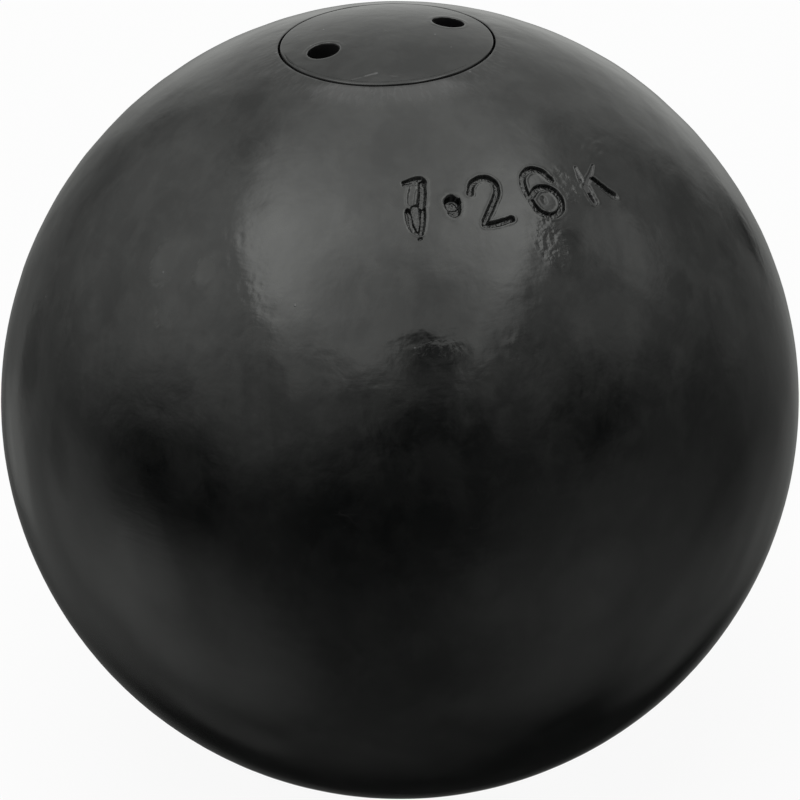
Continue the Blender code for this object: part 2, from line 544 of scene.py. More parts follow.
class Material:
    """A new material with its graph, its object coordinates and its one shader."""

    def __init__(self, name: str) -> None:
        """Makes an empty material.

        Args:
            name: The material's name.
        """
        self.data = bpy.data.materials.new(name)
        self.data.use_nodes = True
        self.data.node_tree.nodes.clear()
        self.graph = Graph(self.data.node_tree)
        self.place = self.graph.node("TexCoord").outputs["Object"]

    def lay(self, effect: Callable[[], Effect], vector: Socket | None = None, **knobs: float) -> Socket:
        """Places an effect's node group.

        Args:
            effect: The function that gives the effect.
            vector: The coordinates that it reads, if they aren't the object's own.
            **knobs: This material's values for its number inputs.

        Returns:
            The effect's output.
        """
        inputs = {"Vector": self.place if vector is None else vector, **knobs}
        return self.graph.node("Group", inputs, node_tree=effect().tree).outputs[0]

    def dress(
        self, tone: Tone, rough: Number, heights: list[tuple[Socket, float]], others: Inputs | None = None
    ) -> Finish:
        """Closes the material with a Principled BSDF.

        Args:
            tone: Its base colour.
            rough: Its roughness.
            heights: The heights of its stacked bumps, each with its real depth in millimetres.
            others: Its other inputs, by name.

        Returns:
            The finished material.
        """
        normal = {}
        for height, depth in heights:
            inputs = {"Height": height, "Strength": 1.0, "Distance": depth * MM, **normal}
            normal = {"Normal": self.graph.node("Bump", inputs).outputs[0]}
        inputs = {"Base Color": tone, "Roughness": rough, **normal, **(others or {})}
        shader = self.graph.node("BsdfPrincipled", inputs)
        self.graph.node("OutputMaterial", {"Surface": shader.outputs[0]})
        return self.data


@dataclass(frozen=True)
class Scuff:
    """A short pale scratch in flat enamel: its middle, its turn in degrees and its size."""

    x: float
    y: float
    turn: float
    length: float
    width: float
    share: float = 0.8

    def mask(self, made: Material) -> Socket:
        """Lays the scratch on the enamel, as seen from above.

        Args:
            made: The enamel's material.

        Returns:
            A mask of where it shows.
        """
        middle = (self.x * MM, self.y * MM, 60.5 * MM)
        size = (self.length / 2 * MM, self.width / 2 * MM, 10.0 * MM)
        turn = (0.0, 0.0, math.radians(self.turn))
        laid = made.graph.mapped(made.place, size, turn, middle, "TEXTURE")
        return made.graph.remap(made.graph.vector("LENGTH", laid), 0.5, 1.0, self.share, 0.0)


@dataclass(frozen=True)
class BlackEnamel:
    """Glossy black enamel over turned iron, with its swells, brush marks, hazy film and dust, and painted
    highlights and glints.
    """

    name: str
    colour: Colour = (0.0024, 0.0027, 0.0027)
    # The pale colour of dust, dried crusts and scratches, and of the glints painted in the strokes, beside
    # the plug and on its rims.
    pale_speck_and_glint: Colour = (0.09, 0.09, 0.09)
    # The paler colour of its hazy film and clouds, and of the highlights painted on stroke lips, sag rims
    # and wrinkle crests.
    haze_and_highlight: Colour = (0.0335, 0.0345, 0.033)
    roughness: float = 0.1
    dust_share: float = 0.018
    # How strong the brushed fan beside the plug is, as relief and as a painted glint.
    fan: float = 1.0
    fan_height: float = 58.3
    scuffs: tuple[Scuff, ...] = ()

    def painted_glint(self, made: Material, flecks: Socket) -> Socket:
        """Paints a highlight beside the plug, on the side of the mark, where the brushed paint glints.

        Args:
            made: The enamel's material.
            flecks: A mask of flecks with a painted glint.

        Returns:
            A mask of how bright the painted highlight is.
        """
        graph = made.graph
        across, deep, high = graph.parts(made.place)
        side = graph.math("ABSOLUTE", across)
        ends = graph.remap(side, 10.4 * MM, 12.8 * MM, 1.0, 0.15)
        wings = graph.remap(side, 2.0 * MM, 9.0 * MM, 0.26, 0.52)
        top = graph.remap(high, 58.5 * MM, 60.2 * MM, 0.0, self.fan)
        front = graph.remap(deep, -15.3 * MM, -13.4 * MM, 1.0, 0.08)
        return graph.plus(graph.times(top, wings, ends, front), flecks)

    def make(self) -> Finish:
        """Makes the material.

        Returns:
            The finished material.
        """
        made = Material(self.name)
        graph, place = made.graph, made.place
        high = graph.parts(place)[2]
        upper = graph.remap(high, 2.0 * MM, 23.0 * MM, 0.2, 1.0)
        near_plug = graph.remap(high, self.fan_height * MM, (self.fan_height + 1.8) * MM, 0.0, self.fan)
        leaning = graph.mapped(place, (1.0, 1.0, 1.0), (0.2, 0.35, 0.6))
        torn = graph.mapped(place, (1.0, 1.0, 1.6), (0.73, 0.0, 2.9), kind="TEXTURE")
        swell = graph.times(made.lay(brush_ripple, leaning, Scale=220.0, Length=1.25), upper)
        peel = graph.times(made.lay(orange_peel, Scale=430.0), upper)
        lumps = made.lay(orange_peel, leaning, Scale=1900.0)
        dust = made.lay(dust_specks, Scale=420.0, Share=self.dust_share)
        hair = made.lay(fine_scratches, Scale=70.0, Share=0.33)
        cloud = made.lay(oxide_mottle, Scale=60.0, Low=0.4, High=0.62)
        wisps = made.lay(oxide_mottle, leaning, Scale=230.0, Low=0.44, High=0.66)
        clouds = made.lay(oxide_mottle, torn, Scale=135.0, Low=0.43, High=0.58)
        turning = made.lay(round_streaks, Round=9.0, Down=52.0)
        brushing = made.lay(round_streaks, Round=26.0, Down=34.0)
        turned = graph.times(turning, graph.plus(cloud, 0.25))
        fan = graph.times(brushing, near_plug)
        # Marks laid on the mesh: hazy film with highlights painted on stroke lips, sag rims and wrinkle
        # crests, and dried crusts with glints painted in the strokes and on the plug's edge and holes.
        haze_and_highlight_mask, crust_and_glint_mask, wrinkled = (
            graph.node("Attribute", attribute_name=name).outputs["Fac"]
            for name in ("haze_and_highlight", "crust_and_glint", "wrinkle")
        )
        veil = graph.plus(graph.times(wisps, 1.5), graph.times(clouds, 1.8))
        veil = graph.times(veil, graph.remap(high, 12.0 * MM, 34.0 * MM, 0.03, 0.14))
        tone = graph.mix(graph.math("ADD", veil, haze_and_highlight_mask, True), self.colour, self.haze_and_highlight)
        tone = graph.mix(graph.times(hair, 0.12), tone, self.haze_and_highlight)
        # A painted glint: the brushed fan's flecks beside the plug are painted paler.
        painted_glint = self.painted_glint(made, graph.times(near_plug, graph.remap(brushing, 0.47, 0.62, 0.0, 0.16)))
        scratched = graph.most(0.0, *(scuff.mask(made) for scuff in self.scuffs))
        # Paler where dust, dried crusts and scratches are, and where highlights and glints are painted.
        pale = graph.most(graph.times(dust, 0.7), crust_and_glint_mask, painted_glint, scratched)
        gloss = graph.remap(cloud, 0.0, 1.0, self.roughness - 0.01, self.roughness + 0.02)
        heights = [(swell, 0.062), (peel, 0.022), (turned, 0.012), (fan, 0.03)]
        heights += [(graph.times(lumps, wrinkled), 0.05), (dust, 0.02), (scratched, 0.02)]
        tone, rough = graph.mix(pale, tone, self.pale_speck_and_glint), graph.plus(gloss, graph.times(hair, 0.1))
        return made.dress(tone, rough, heights, {"IOR": 1.5})


@dataclass(frozen=True)
class ThinPaint:
    """Thin dull black paint and grime in drilled holes and in the joint."""

    name: str = "thin_black_paint"
    colour: Colour = (0.0035, 0.0035, 0.0038)
    grime: Colour = (0.009, 0.0085, 0.008)

    def make(self) -> Finish:
        """Makes the material.

        Returns:
            The finished material.
        """
        made = Material(self.name)
        graph = made.graph
        rings = made.lay(turned_rings, Scale=2200.0)
        stain = made.lay(oxide_mottle, Scale=520.0, Low=0.45, High=0.7)
        tone, rough = graph.mix(stain, self.colour, self.grime), graph.plus(graph.times(stain, 0.2), 0.6)
        return made.dress(tone, rough, [(rings, 0.01)], {"Specular IOR Level": 0.2})


@dataclass(frozen=True)
class Stain:
    """A metal's oxide: its scale, where it starts and is full, its share and how dull it is."""

    scale: float = 260.0
    low: float = 0.38
    high: float = 0.7
    share: float = 0.8
    rough: float = 0.2


@dataclass(frozen=True)
class Hairlines:
    """A metal's fine scratches: their scale, their share and their gloss."""

    scale: float = 120.0
    share: float = 0.4
    gloss: float = 0.08


@dataclass(frozen=True)
class Skin:
    """The relief that a metal's making left: its effect, its scale and its depth."""

    effect: Callable[[], Effect] = turned_rings
    scale: float = 2600.0
    depth: float = 0.006


@dataclass(frozen=True)
class DullMetal:
    """Bare metal, with any paint crept over it above a height."""

    name: str
    colour: Colour
    tarnish: Colour
    roughness: float
    stain: Stain = Stain()
    hairlines: Hairlines = Hairlines()
    skin: Skin = Skin()
    paint: Colour = (0.0085, 0.0085, 0.0092)
    paint_height: float | None = None

    def make(self) -> Finish:
        """Makes the material, with its oxide, its hairlines and the relief of its making.

        Returns:
            The finished material.
        """
        made = Material(self.name)
        graph, stain = made.graph, self.stain
        skin = made.lay(self.skin.effect, Scale=self.skin.scale)
        cloud = made.lay(oxide_mottle, Scale=stain.scale, Low=stain.low, High=stain.high)
        hair = made.lay(fine_scratches, Scale=self.hairlines.scale, Share=self.hairlines.share)
        tone = graph.mix(graph.times(cloud, stain.share), self.colour, self.tarnish)
        rough = graph.plus(graph.times(cloud, stain.rough), self.roughness)
        rough = graph.less(rough, graph.times(hair, self.hairlines.gloss))
        heights, metallic = [(skin, self.skin.depth)], 1.0
        if self.paint_height is not None:
            ragged = graph.times(graph.noise(made.place, 420.0, 3.0), 1.6 * MM)
            height = graph.plus(graph.parts(made.place)[2], ragged)
            low = (self.paint_height + 0.7) * MM
            paint = graph.remap(height, low, low + 0.15 * MM)
            tone = graph.mix(graph.times(skin, 0.35), tone, self.tarnish)
            tone, metallic = graph.mix(paint, tone, self.paint), graph.less(1.0, paint)
            heights.append((paint, 0.05))
        return made.dress(tone, rough, heights, {"Metallic": metallic})


MACHINED_IRON = DullMetal(
    "machined_iron", (0.36, 0.35, 0.34), (0.14, 0.12, 0.1), 0.34, paint_height=58.9
)
OILED_STEEL = DullMetal("oiled_steel", (0.42, 0.42, 0.43), (0.16, 0.15, 0.14), 0.28, paint_height=58.1)
ANNEALED_COPPER = DullMetal(
    "annealed_copper_finish",
    (0.72, 0.36, 0.23),
    (0.3, 0.13, 0.09),
    0.36,
    Stain(330.0, 0.42, 0.72, 0.75, 0.22),
    Hairlines(150.0, 0.45, 0.1),
    Skin(turned_rings, 3400.0, 0.005),
)
DULL_LEAD = DullMetal(
    "dull_lead_finish",
    (0.3, 0.31, 0.33),
    (0.13, 0.135, 0.145),
    0.42,
    Stain(420.0, 0.35, 0.66, 1.0, 0.25),
    Hairlines(160.0, 0.45, 0.12),
    Skin(orange_peel, 1500.0, 0.02),
)


@dataclass(frozen=True)
class WoolFelt:
    """Pressed grey wool felt, matted from crossed fibres."""

    name: str = "wool_felt_finish"
    colour: Colour = (0.32, 0.3, 0.27)
    dark: Colour = (0.15, 0.14, 0.13)
    pale: Colour = (0.5, 0.47, 0.42)

    def make(self) -> Finish:
        """Makes the material.

        Returns:
            The finished material.
        """
        made = Material(self.name)
        graph, place = made.graph, made.place
        first = graph.noise(graph.mapped(place, (1.0, 7.0, 4.0), (0.4, 0.2, 0.9)), 700.0, 4.0, 0.7)
        second = graph.noise(graph.mapped(place, (6.0, 1.0, 5.0), (0.1, 0.7, 0.3)), 760.0, 4.0, 0.7)
        fibres = graph.most(first, second)
        cloud = made.lay(oxide_mottle, Scale=170.0, Low=0.3, High=0.7)
        tone = graph.mix(graph.remap(fibres, 0.42, 0.72), self.dark, self.colour)
        tone = graph.mix(graph.times(cloud, 0.35), tone, self.pale)
        return made.dress(tone, 0.95, [(fibres, 0.16)], {"Sheen Weight": 0.35})


# Pieces


@dataclass
class Piece:
    """What every finished piece has: its name, its body, its slot and the nodes it stands for."""

    name: str
    body: Body
    slot: Slot
    nodes: tuple[str, ...]

    def leave_bare(self, bm: Mesh, painted: set) -> None:
        """Leaves every face outside a set bare.

        Args:
            bm: The piece's mesh.
            painted: The faces that keep their coats.
        """
        for face in bm.faces:
            if face not in painted:
                face.material_index = Coat.BARE.value

    def finish(self, bm: Mesh, materials: list[Finish], sharp: float = 50.0) -> None:
        """Turns a shaped bmesh into the finished piece on its body.

        Args:
            bm: The closed mesh, in millimetres. It is freed.
            materials: The materials, in the order of the coats' numbers.
            sharp: The angle in degrees past which an edge is drawn sharp.
        """
        bmesh.ops.triangulate(bm, faces=[face for face in bm.faces if len(face.verts) > 4])
        bmesh.ops.recalc_face_normals(bm, faces=bm.faces)
        bmesh.ops.scale(bm, vec=(MM, MM, MM), verts=bm.verts)
        mesh = bpy.data.meshes.new(self.name)
        bm.to_mesh(mesh)
        open_edges = sum(1 for edge in bm.edges if len(edge.link_faces) != 2)
        triangles = sum(len(face.verts) - 2 for face in bm.faces)
        bm.free()
        mesh.shade_smooth()
        mesh.set_sharp_from_angle(angle=math.radians(sharp))
        for material in materials:
            mesh.materials.append(material)
        made = bpy.data.objects.new(self.name, mesh)
        bpy.context.scene.collection.objects.link(made)
        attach(made, self.body.value)
        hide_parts(*self.nodes)
        LOG.info("%s: %d triangles, %d open edges", self.name, triangles, open_edges)


@dataclass(frozen=True)
class Stroke:
    """One struck stroke, in millimetres on the ball round its character's middle."""

    points: tuple[Point, ...]
    depth: float = 0.72
    width: float = 0.55
    end_width: float = 0.55
    lip: float = 0.06
    wall: float = 1.6
    tilt: Point = (0.0, 0.0)
    # specks paints glints on the groove's floor, and pale paints the stroke's facets paler as a painted
    # reflection.
    specks: float = 0.12
    pale: float = 0.0


@dataclass(frozen=True)
class Character:
    """A struck character: its place on the ball and its strokes."""

    longitude: float
    latitude: float
    strokes: tuple[Stroke, ...]


# The weight mark, 7.26 kg as the event writes it, struck by hand one character at a time
SEVEN = Character(5.25, 53.84, (
    Stroke(((-1.45, 3.92), (-0.54, 4.15), (0.41, 4.31), (1.16, 4.26)), 0.6, 0.3, 0.56, specks=0.8),
    Stroke(((-1.5, 3.45), (-0.7, 3.55), (0.1, 3.75)), 0.2, 0.2, 0.3, 0.04, specks=0.8),
    Stroke(((1.25, 3.9), (1.07, 2.39), (0.89, 1.16), (0.67, 0.07)), 0.95, 0.7, 0.7, specks=0.6),
    Stroke(((0.8, -0.62), (0.66, -1.99), (0.41, -3.32), (0.12, -4.37)), 0.95, 0.55, 0.5, specks=0.6),
    Stroke(((-0.31, -0.53), (-0.4, -1.58), (-0.35, -2.69), (-0.15, -3.7)), 0.34, 0.74, 0.6, wall=3.4),
    Stroke(((-0.12, 2.99), (-0.56, 1.7), (-0.76, 0.4)), 0.13, 0.72, 0.6, 0.05),
    Stroke(((-1.3, -0.75), (-1.1, -1.5), (-1.08, -2.7), (-0.75, -3.9)), 0.85, 0.42, 0.55, specks=0.6),
    Stroke(((-1.55, -1.0), (-1.5, -2.4), (-1.25, -3.6)), 0.3, 0.3, 0.3, 0.05, specks=0.8),
    Stroke(((-0.75, -4.0), (-0.2, -4.45), (0.3, -4.5)), 0.7, 0.5, 0.4, specks=0.8),
    Stroke(((-0.2, -5.4), (0.2, -5.28)), 0.3, 0.26, 0.24, 0.0),
))
POINT = Character(13.44, 53.25, (
    Stroke(((-0.1, 0.5), (-0.15, -0.95)), 1.15, 1.26, 1.0, 0.06, 3.2, (-0.03, 0.3), 0.4),
))
TWO = Character(21.61, 53.29, (
    Stroke((
        (-2.35, 1.56), (-1.45, 3.06), (0.38, 3.61), (1.71, 2.59), (1.58, 0.91), (0.24, -0.91),
        (-1.82, -3.32),
    )),
    Stroke(((-1.93, -3.78), (-0.4, -3.98), (2.28, -3.72))),
))
SIX = Character(34.34, 52.0, (
    Stroke((
        (2.42, 1.78), (1.69, 3.51), (0.28, 4.3), (-1.41, 3.69), (-2.3, 1.93), (-2.48, -0.13),
        (-2.15, -2.36), (-0.61, -3.58), (1.29, -3.12), (2.13, -1.3), (1.41, 0.45), (-0.35, 1.1),
        (-2.0, 0.3),
    ), 0.58, wall=2.2, specks=0.5),
    Stroke(((-0.45, -0.75), (-0.55, -1.25)), 0.14, 0.62, 0.55, 0.0, 1.0, specks=0.0),
))
KAY = Character(47.45, 50.84, (
    Stroke(((-0.79, 3.19), (-1.21, 2.03), (-1.62, 0.92)), 0.2, 0.24, 0.5, 0.05, pale=0.42),
    Stroke(((-1.53, -0.21), (-1.84, -1.41), (-2.04, -2.74)), 0.24, 0.74, 0.64, 0.07, 3.0, pale=0.36),
    Stroke(((-1.78, -1.25), (-1.95, -2.55)), 0.75, 0.36, 0.34, 0.0, specks=0.5),
    Stroke(((2.33, 2.28), (0.94, 1.38), (-0.47, 0.65), (-1.55, 0.0)), 0.17, 0.26, 0.62, 0.05, pale=0.42),
    Stroke(((0.43, 0.63), (0.88, -0.67), (1.38, -1.96), (1.98, -3.23)), 0.55, 0.42, 0.56, 0.07, 1.9),
    Stroke(((1.9, -3.25), (2.12, -3.6)), 0.16, 0.5, 0.44, 0.06, pale=0.4),
    Stroke(((-1.41, 1.28), (-1.5, 1.01)), 0.42, 0.2, 0.2, 0.0),
    Stroke(((-1.8, -1.17), (-1.88, -1.5)), 0.5, 0.24, 0.24, 0.0),
))


class StruckStroke:
    """A stroke laid on the ball, which tells how deep the surface lies near it."""

    def __init__(self, stroke: Stroke, middle: Vector, radius: float, step: float = 0.1) -> None:
        """Samples the stroke along a smooth path on the ball.

        Args:
            stroke: The stroke in its character's tangent frame.
            middle: The unit vector to the character's middle.
            radius: The ball's radius.
            step: The distance between samples.
        """
        self.stroke = stroke
        self.right, self.up = right_and_up(middle)
        flat = [Vector(point) for point in stroke.points]
        flat = [flat[0] * 2 - flat[1], *flat, flat[-1] * 2 - flat[-2]]
        self.places: list[Vector] = []
        for a, b, c, d in zip(flat, flat[1:], flat[2:], flat[3:]):
            count = max(2, math.ceil((c - b).length / step))
            for t in (part / count for part in range(count)):
                bend = (a * 2 - b * 5 + c * 4 - d) * t * t + (b * 3 - a - c * 3 + d) * t**3
                curve = (b * 2 + (c - a) * t + bend) / 2
                deep = middle * math.sqrt(radius**2 - curve.length_squared)
                self.places.append(self.right * curve.x + self.up * curve.y + deep)
        self.tree = kdtree.KDTree(len(self.places))
        for number, place in enumerate(self.places):
            self.tree.insert(place, number)
        self.tree.balance()

    def relief(self, point: Vector) -> Triple:
        """Works out the stroke's relief at a point.

        Args:
            point: The point on the ball.

        Returns:
            How deep the stroke cuts, how high its lip is, and its painted glints and reflection.
        """
        place, number, distance = self.tree.find(point)
        stroke = self.stroke
        off = point - self.places[len(self.places) // 2]
        level = 1.0 + stroke.tilt[0] * off.dot(self.right) + stroke.tilt[1] * off.dot(self.up)
        width = stroke.width + (stroke.end_width - stroke.width) * number / len(self.places)
        width *= 1.0 + 0.09 * ripple(place, 1.6, 3.1) + 0.08 * ripple(point, 0.9, 6.3)
        offset = distance / width
        if offset > 1.8:
            return 0.0, 0.0, 0.0
        rough = 0.12 * ripple(place, 2.5, 7.7) + 0.16 * ripple(point, 0.6, 4.4)
        rough = 1.0 + (rough + 0.08 * ripple(point, 0.35, 1.9)) * min(1.0, 0.5 / stroke.depth)
        cut = stroke.depth * rough * ease((1.0 - offset) * stroke.wall) * clamp(level)
        lip = stroke.lip * ease(1.0 - abs(offset - 1.22) / 0.4) * (0.85 + 0.5 * ripple(place, 1.2, 5.0))
        # Painted glints on the groove's floor, and a painted reflection across a pale stroke.
        specks = stroke.specks * ease(cut * 5.0) * clamp(3.0 * ripple(point, 0.5, 4.9) - 0.8)
        return cut, max(0.0, lip), max(specks, stroke.pale * ease((1.0 - offset) * 3.0))


@dataclass(frozen=True)
class Blemish:
    """A place in the enamel, with its middle on the ball, its half sizes and its depth."""

    longitude: float
    latitude: float
    width: float
    height: float
    depth: float

    def laid(self, point: Vector) -> Point:
        """Returns how far to the right of its middle and how far above it a point lies."""
        right, up = right_and_up(toward(self.longitude, self.latitude))
        return point.dot(right), point.dot(up)


@dataclass(frozen=True)
class RoughPlace(Blemish):
    """A wrinkled place, with its wrinkles' size and run, how matt it is and how bright a glint is painted
    on its crests.
    """

    grain: float
    lean: float
    stretch: float
    wrinkle: float
    # How bright the glint painted on the crests is, as paler colour.
    haze_and_highlight: float = 0.0

    def at(self, point: Vector) -> Triple:
        """Works out the place's wrinkles at a point.

        Args:
            point: The point on the ball.

        Returns:
            How much the enamel is lifted and wrinkled, and the glint painted on its crests.
        """
        across, high = self.laid(point)
        if abs(across) > self.width or abs(high) > self.height:
            return 0.0, 0.0, 0.0
        share = ease((1.0 - math.hypot(across / self.width, high / self.height)) * 2.0)
        turn = math.radians(self.lean)
        along = across * math.cos(turn) + high * math.sin(turn)
        over = high * math.cos(turn) - across * math.sin(turn)
        laid = Vector((along / self.stretch, over, self.longitude)) / self.grain
        crease = 0.5 - abs(noise.noise(laid)) * 2.0 + 0.6 * noise.noise(laid * 2.1)
        return share * self.depth * crease, share * self.wrinkle, share * self.haze_and_highlight * clamp(crease * 2.0)


@dataclass(frozen=True)
class PaintSag(Blemish):
    """A flat, hazy drop of enamel that ran down a little and set with a crinkled lower edge, which has a
    painted highlight.
    """

    haze_and_highlight: float

    def at(self, point: Vector) -> Triple:
        """Works out the sag's shape at a point.

        Args:
            point: The point on the ball.

        Returns:
            How much the enamel is lifted, wrinkled and made hazy, with a painted highlight along the
            crinkled rim.
        """
        across, high = self.laid(point)
        across, high = across / self.width, high / self.height
        if max(abs(across), abs(high)) > 2.0:
            return 0.0, 0.0, 0.0
        away = math.hypot(across - 0.3 * max(high, 0.0), high)
        away *= 1.0 + 0.12 * ripple(point, 1.7, 3.7) + 0.06 * ripple(point, 0.7, 1.2)
        inside, edge = clamp(1.0 - away), ease(0.4 - 0.5 * (across + high))
        low = ease(edge)
        rim = low * ease(1.0 - abs(inside - 0.08) / 0.08) * clamp(0.5 + ripple(point, 1.4, 2.3))
        # Paler inside as a hazy film, and a painted highlight along the crinkled lower rim.
        haze_and_highlight = self.haze_and_highlight * ease(inside * 2.2) * (0.45 + 0.55 * low) + 0.85 * rim
        return self.depth * (ease(inside * (1.3 + 5.0 * edge)) - 0.5 * rim), 0.0, haze_and_highlight


BLEMISHES = (
    RoughPlace(40.9, 52.1, 2.8, 4.2, 0.055, 1.0, -65.0, 2.2, 0.9),
    RoughPlace(30.6, 45.2, 3.2, 5.2, 0.065, 0.75, 58.0, 1.7, 1.0, 0.02),
    RoughPlace(54.5, 54.8, 4.2, 2.4, 0.05, 0.9, 12.0, 2.6, 0.3),
    RoughPlace(6.5, 33.9, 4.6, 2.0, 0.03, 0.9, 20.0, 2.0, 0.4),
    RoughPlace(19.8, 32.2, 4.0, 4.4, 0.05, 1.4, 60.0, 2.6, 0.3, 0.1),
    RoughPlace(-33.0, 46.0, 3.4, 6.0, 0.035, 1.2, -58.0, 3.0, 0.1, 0.05),
    RoughPlace(-26.0, 38.5, 4.2, 6.0, 0.024, 0.85, -58.0, 2.4, 0.15, 0.05),
    PaintSag(-44.8, 42.2, 2.8, 4.8, 0.1, 0.5),
    PaintSag(-35.6, 42.4, 2.1, 3.4, 0.09, 0.46),
    PaintSag(-39.5, 35.5, 2.8, 3.2, 0.04, 0.2),
)


@dataclass
class BallShell(Piece):
    """The cast ball: its painted skin, its weight mark, and the bored and tapped neck."""

    name: str = "painted_ball"
    body: Body = Body.BALL
    slot: Slot = Slot.BALL_PAINT
    nodes: tuple[str, ...] = ("ball_shell",)
    reach: float = BALL_RADIUS - 0.06
    counterbore: float = 16.3
    paint_round: float = 0.08
    joint_low: float = 59.2
    joint_high: float = 60.2
    joint_reach: float = 17.0
    mark_low: float = 20.0
    mark_high: float = 60.3
    bead: float = 16.75
    bead_width: float = 0.5
    seat: float = 51.4173
    seat_inner: float = 14.3
    bore: float = 12.5
    tap_end: float = 35.0173
    tap_mouth: float = 14.0
    tap_major: float = 13.55
    tap_minor: float = 12.42
    cone_base: float = -14.489
    apex: float = -22.0
    steps: int = 224
    characters: tuple[Character, ...] = (SEVEN, POINT, TWO, SIX, KAY)
    strokes: list[StruckStroke] = field(default_factory=list)

    def outer_profile(self) -> list[Point]:
        """Draws the profile from the bottom pole over the ball and down to the seat.

        Returns:
            Its points, each a radius and a height.
        """
        wall, small = self.counterbore, self.paint_round
        rim = math.degrees(math.acos((wall + small) / self.reach))
        angles = []
        for low, high, count in ((-90.0, -10.0, 40), (-10.0, 40.0, 33), (40.0, 70.0, 31), (70.0, rim, 14)):
            angles += [math.radians(low + (high - low) * part / count) for part in range(count)]
        angles.append(math.radians(rim))
        profile = [(self.reach * math.cos(angle), self.reach * math.sin(angle)) for angle in angles]
        profile[0] = (0.0, -self.reach)
        top = profile[-1][1]
        lip = ((0.62, 0.06), (0.29, 0.3), (0.07, 0.64), (0.0, 1.0))
        profile += [(wall + small * out, top - small * drop) for out, drop in lip]
        profile += [(wall, top - 0.6), (wall, top - 2.0)]
        corner = ((0.0, 4.0), (0.0, 0.25), (0.07, 0.08), (0.25, 0.0))
        profile += [(wall - inward, self.seat + height) for inward, height in corner]
        return [*profile, (14.9, self.seat), (self.seat_inner, self.seat)]

    def wanted(self, point: Vector) -> float:
        """Measures how near a point is to the detail that needs a finer mesh.

        Args:
            point: The point on the ball.

        Returns:
            The distance in millimetres.
        """
        nearest = min(stroke.tree.find(point)[2] for stroke in self.strokes)
        for spot in BLEMISHES:
            middle = toward(spot.longitude, spot.latitude) * BALL_RADIUS
            away = (point - middle).length - max(spot.width, spot.height)
            nearest = min(nearest, max(away, 0.0) + 1.1)
        return nearest

    def refine(self, bm: Mesh) -> None:
        """Subdivides the skin where the mark and the rough places need a finer mesh.

        Args:
            bm: The piece's mesh.
        """
        for reach in (2.4, 1.7, 1.0, 0.7):
            chosen = set()
            for face in bm.faces:
                middle = face.calc_center_median()
                if self.mark_low < middle.z < self.joint_high and self.wanted(middle) < reach:
                    chosen.update(face.edges)
            made = bmesh.ops.subdivide_edges(bm, edges=list(chosen), cuts=1, use_grid_fill=True)
            for part in made["geom_inner"]:
                if isinstance(part, Vert):
                    part.co = part.co.normalized() * self.reach

    def waves(self, point: Vector) -> float:
        """Works out how far a machined and painted ball strays from round.

        Args:
            point: The point on the ball.

        Returns:
            The height over the round ball.
        """
        upper = 0.25 + 0.75 * ease((point.z - 2.0) / 20.0)
        long, short = 0.065 * ripple(point, 15.0, 4.1), 0.052 * ripple(point, 7.0, 9.2)
        return 0.045 * ripple(point, 42.0, 1.3) + upper * (long + short)

    def relief(self, point: Vector) -> tuple[float, float, float, float]:
        """Adds up the mark and the blemishes at a point.

        Args:
            point: The point on the ball.

        Returns:
            The height, the wrinkles, the hazy film with its painted highlights, and the painted glints.
        """
        near = [stroke for stroke in self.strokes if (point - stroke.places[0]).length < 26.0]
        marks = [stroke.relief(point) for stroke in near]
        cut, lip, pale = (max(parts) for parts in zip((0.0, 0.0, 0.0), *marks))
        spots = [spot.at(point) for spot in BLEMISHES]
        lift, wrinkle, haze_and_highlight = (sum(parts) for parts in zip(*spots))
        uncut = 1.0 - clamp(cut / 0.12)
        # A painted highlight along the strokes' raised lips.
        haze_and_highlight = clamp(clamp(haze_and_highlight) + 0.28 * ease(lip / 0.05) * uncut)
        return lip * uncut - cut + lift, clamp(wrinkle), haze_and_highlight, pale

    def lay_skin(self, bm: Mesh) -> None:
        """Moves the skin's points in and out by its waves, mark and blemishes.

        Args:
            bm: The piece's mesh.
        """
        wrinkle, haze_and_highlight, crust_and_glint = (bm.verts.layers.float.new(name) for name in ("wrinkle", "haze_and_highlight", "crust_and_glint"))
        for vert in bm.verts:
            co = vert.co
            away, out = co.length, co.xy.length
            if away < self.reach - 1.2 or (out < self.joint_reach and co.z < self.joint_low):
                continue
            hold = ease(1.0 - (self.reach - 0.02 - away) / 0.5)
            height = self.waves(co)
            if self.mark_low < co.z < self.mark_high:
                # The mark's relief brings its painted highlights and glints.
                lift, vert[wrinkle], vert[haze_and_highlight], vert[crust_and_glint] = self.relief(co)
                height += lift
            if co.z > self.joint_low:
                bead = ease(1.0 - abs(out - self.bead) / self.bead_width)
                height += bead * (0.012 + 0.02 * ripple(co, 2.2, 8.8))
                if out < self.counterbore + 0.3:
                    vert[crust_and_glint] = clamp(0.15 + 0.7 * ripple(co, 2.6, 6.5))
            vert.co = co * (min(away + height * hold, MOST_RADIUS) / away)

    def thread_radius(self, co: Vector, plain: float) -> float:
        """Returns the thread's radius, with its countersunk mouth and its fading end."""
        fade = ease((co.z - self.tap_end) / 2.5)
        return max(self.tap_mouth - (self.seat - co.z), self.bore + (plain - self.bore) * fade)

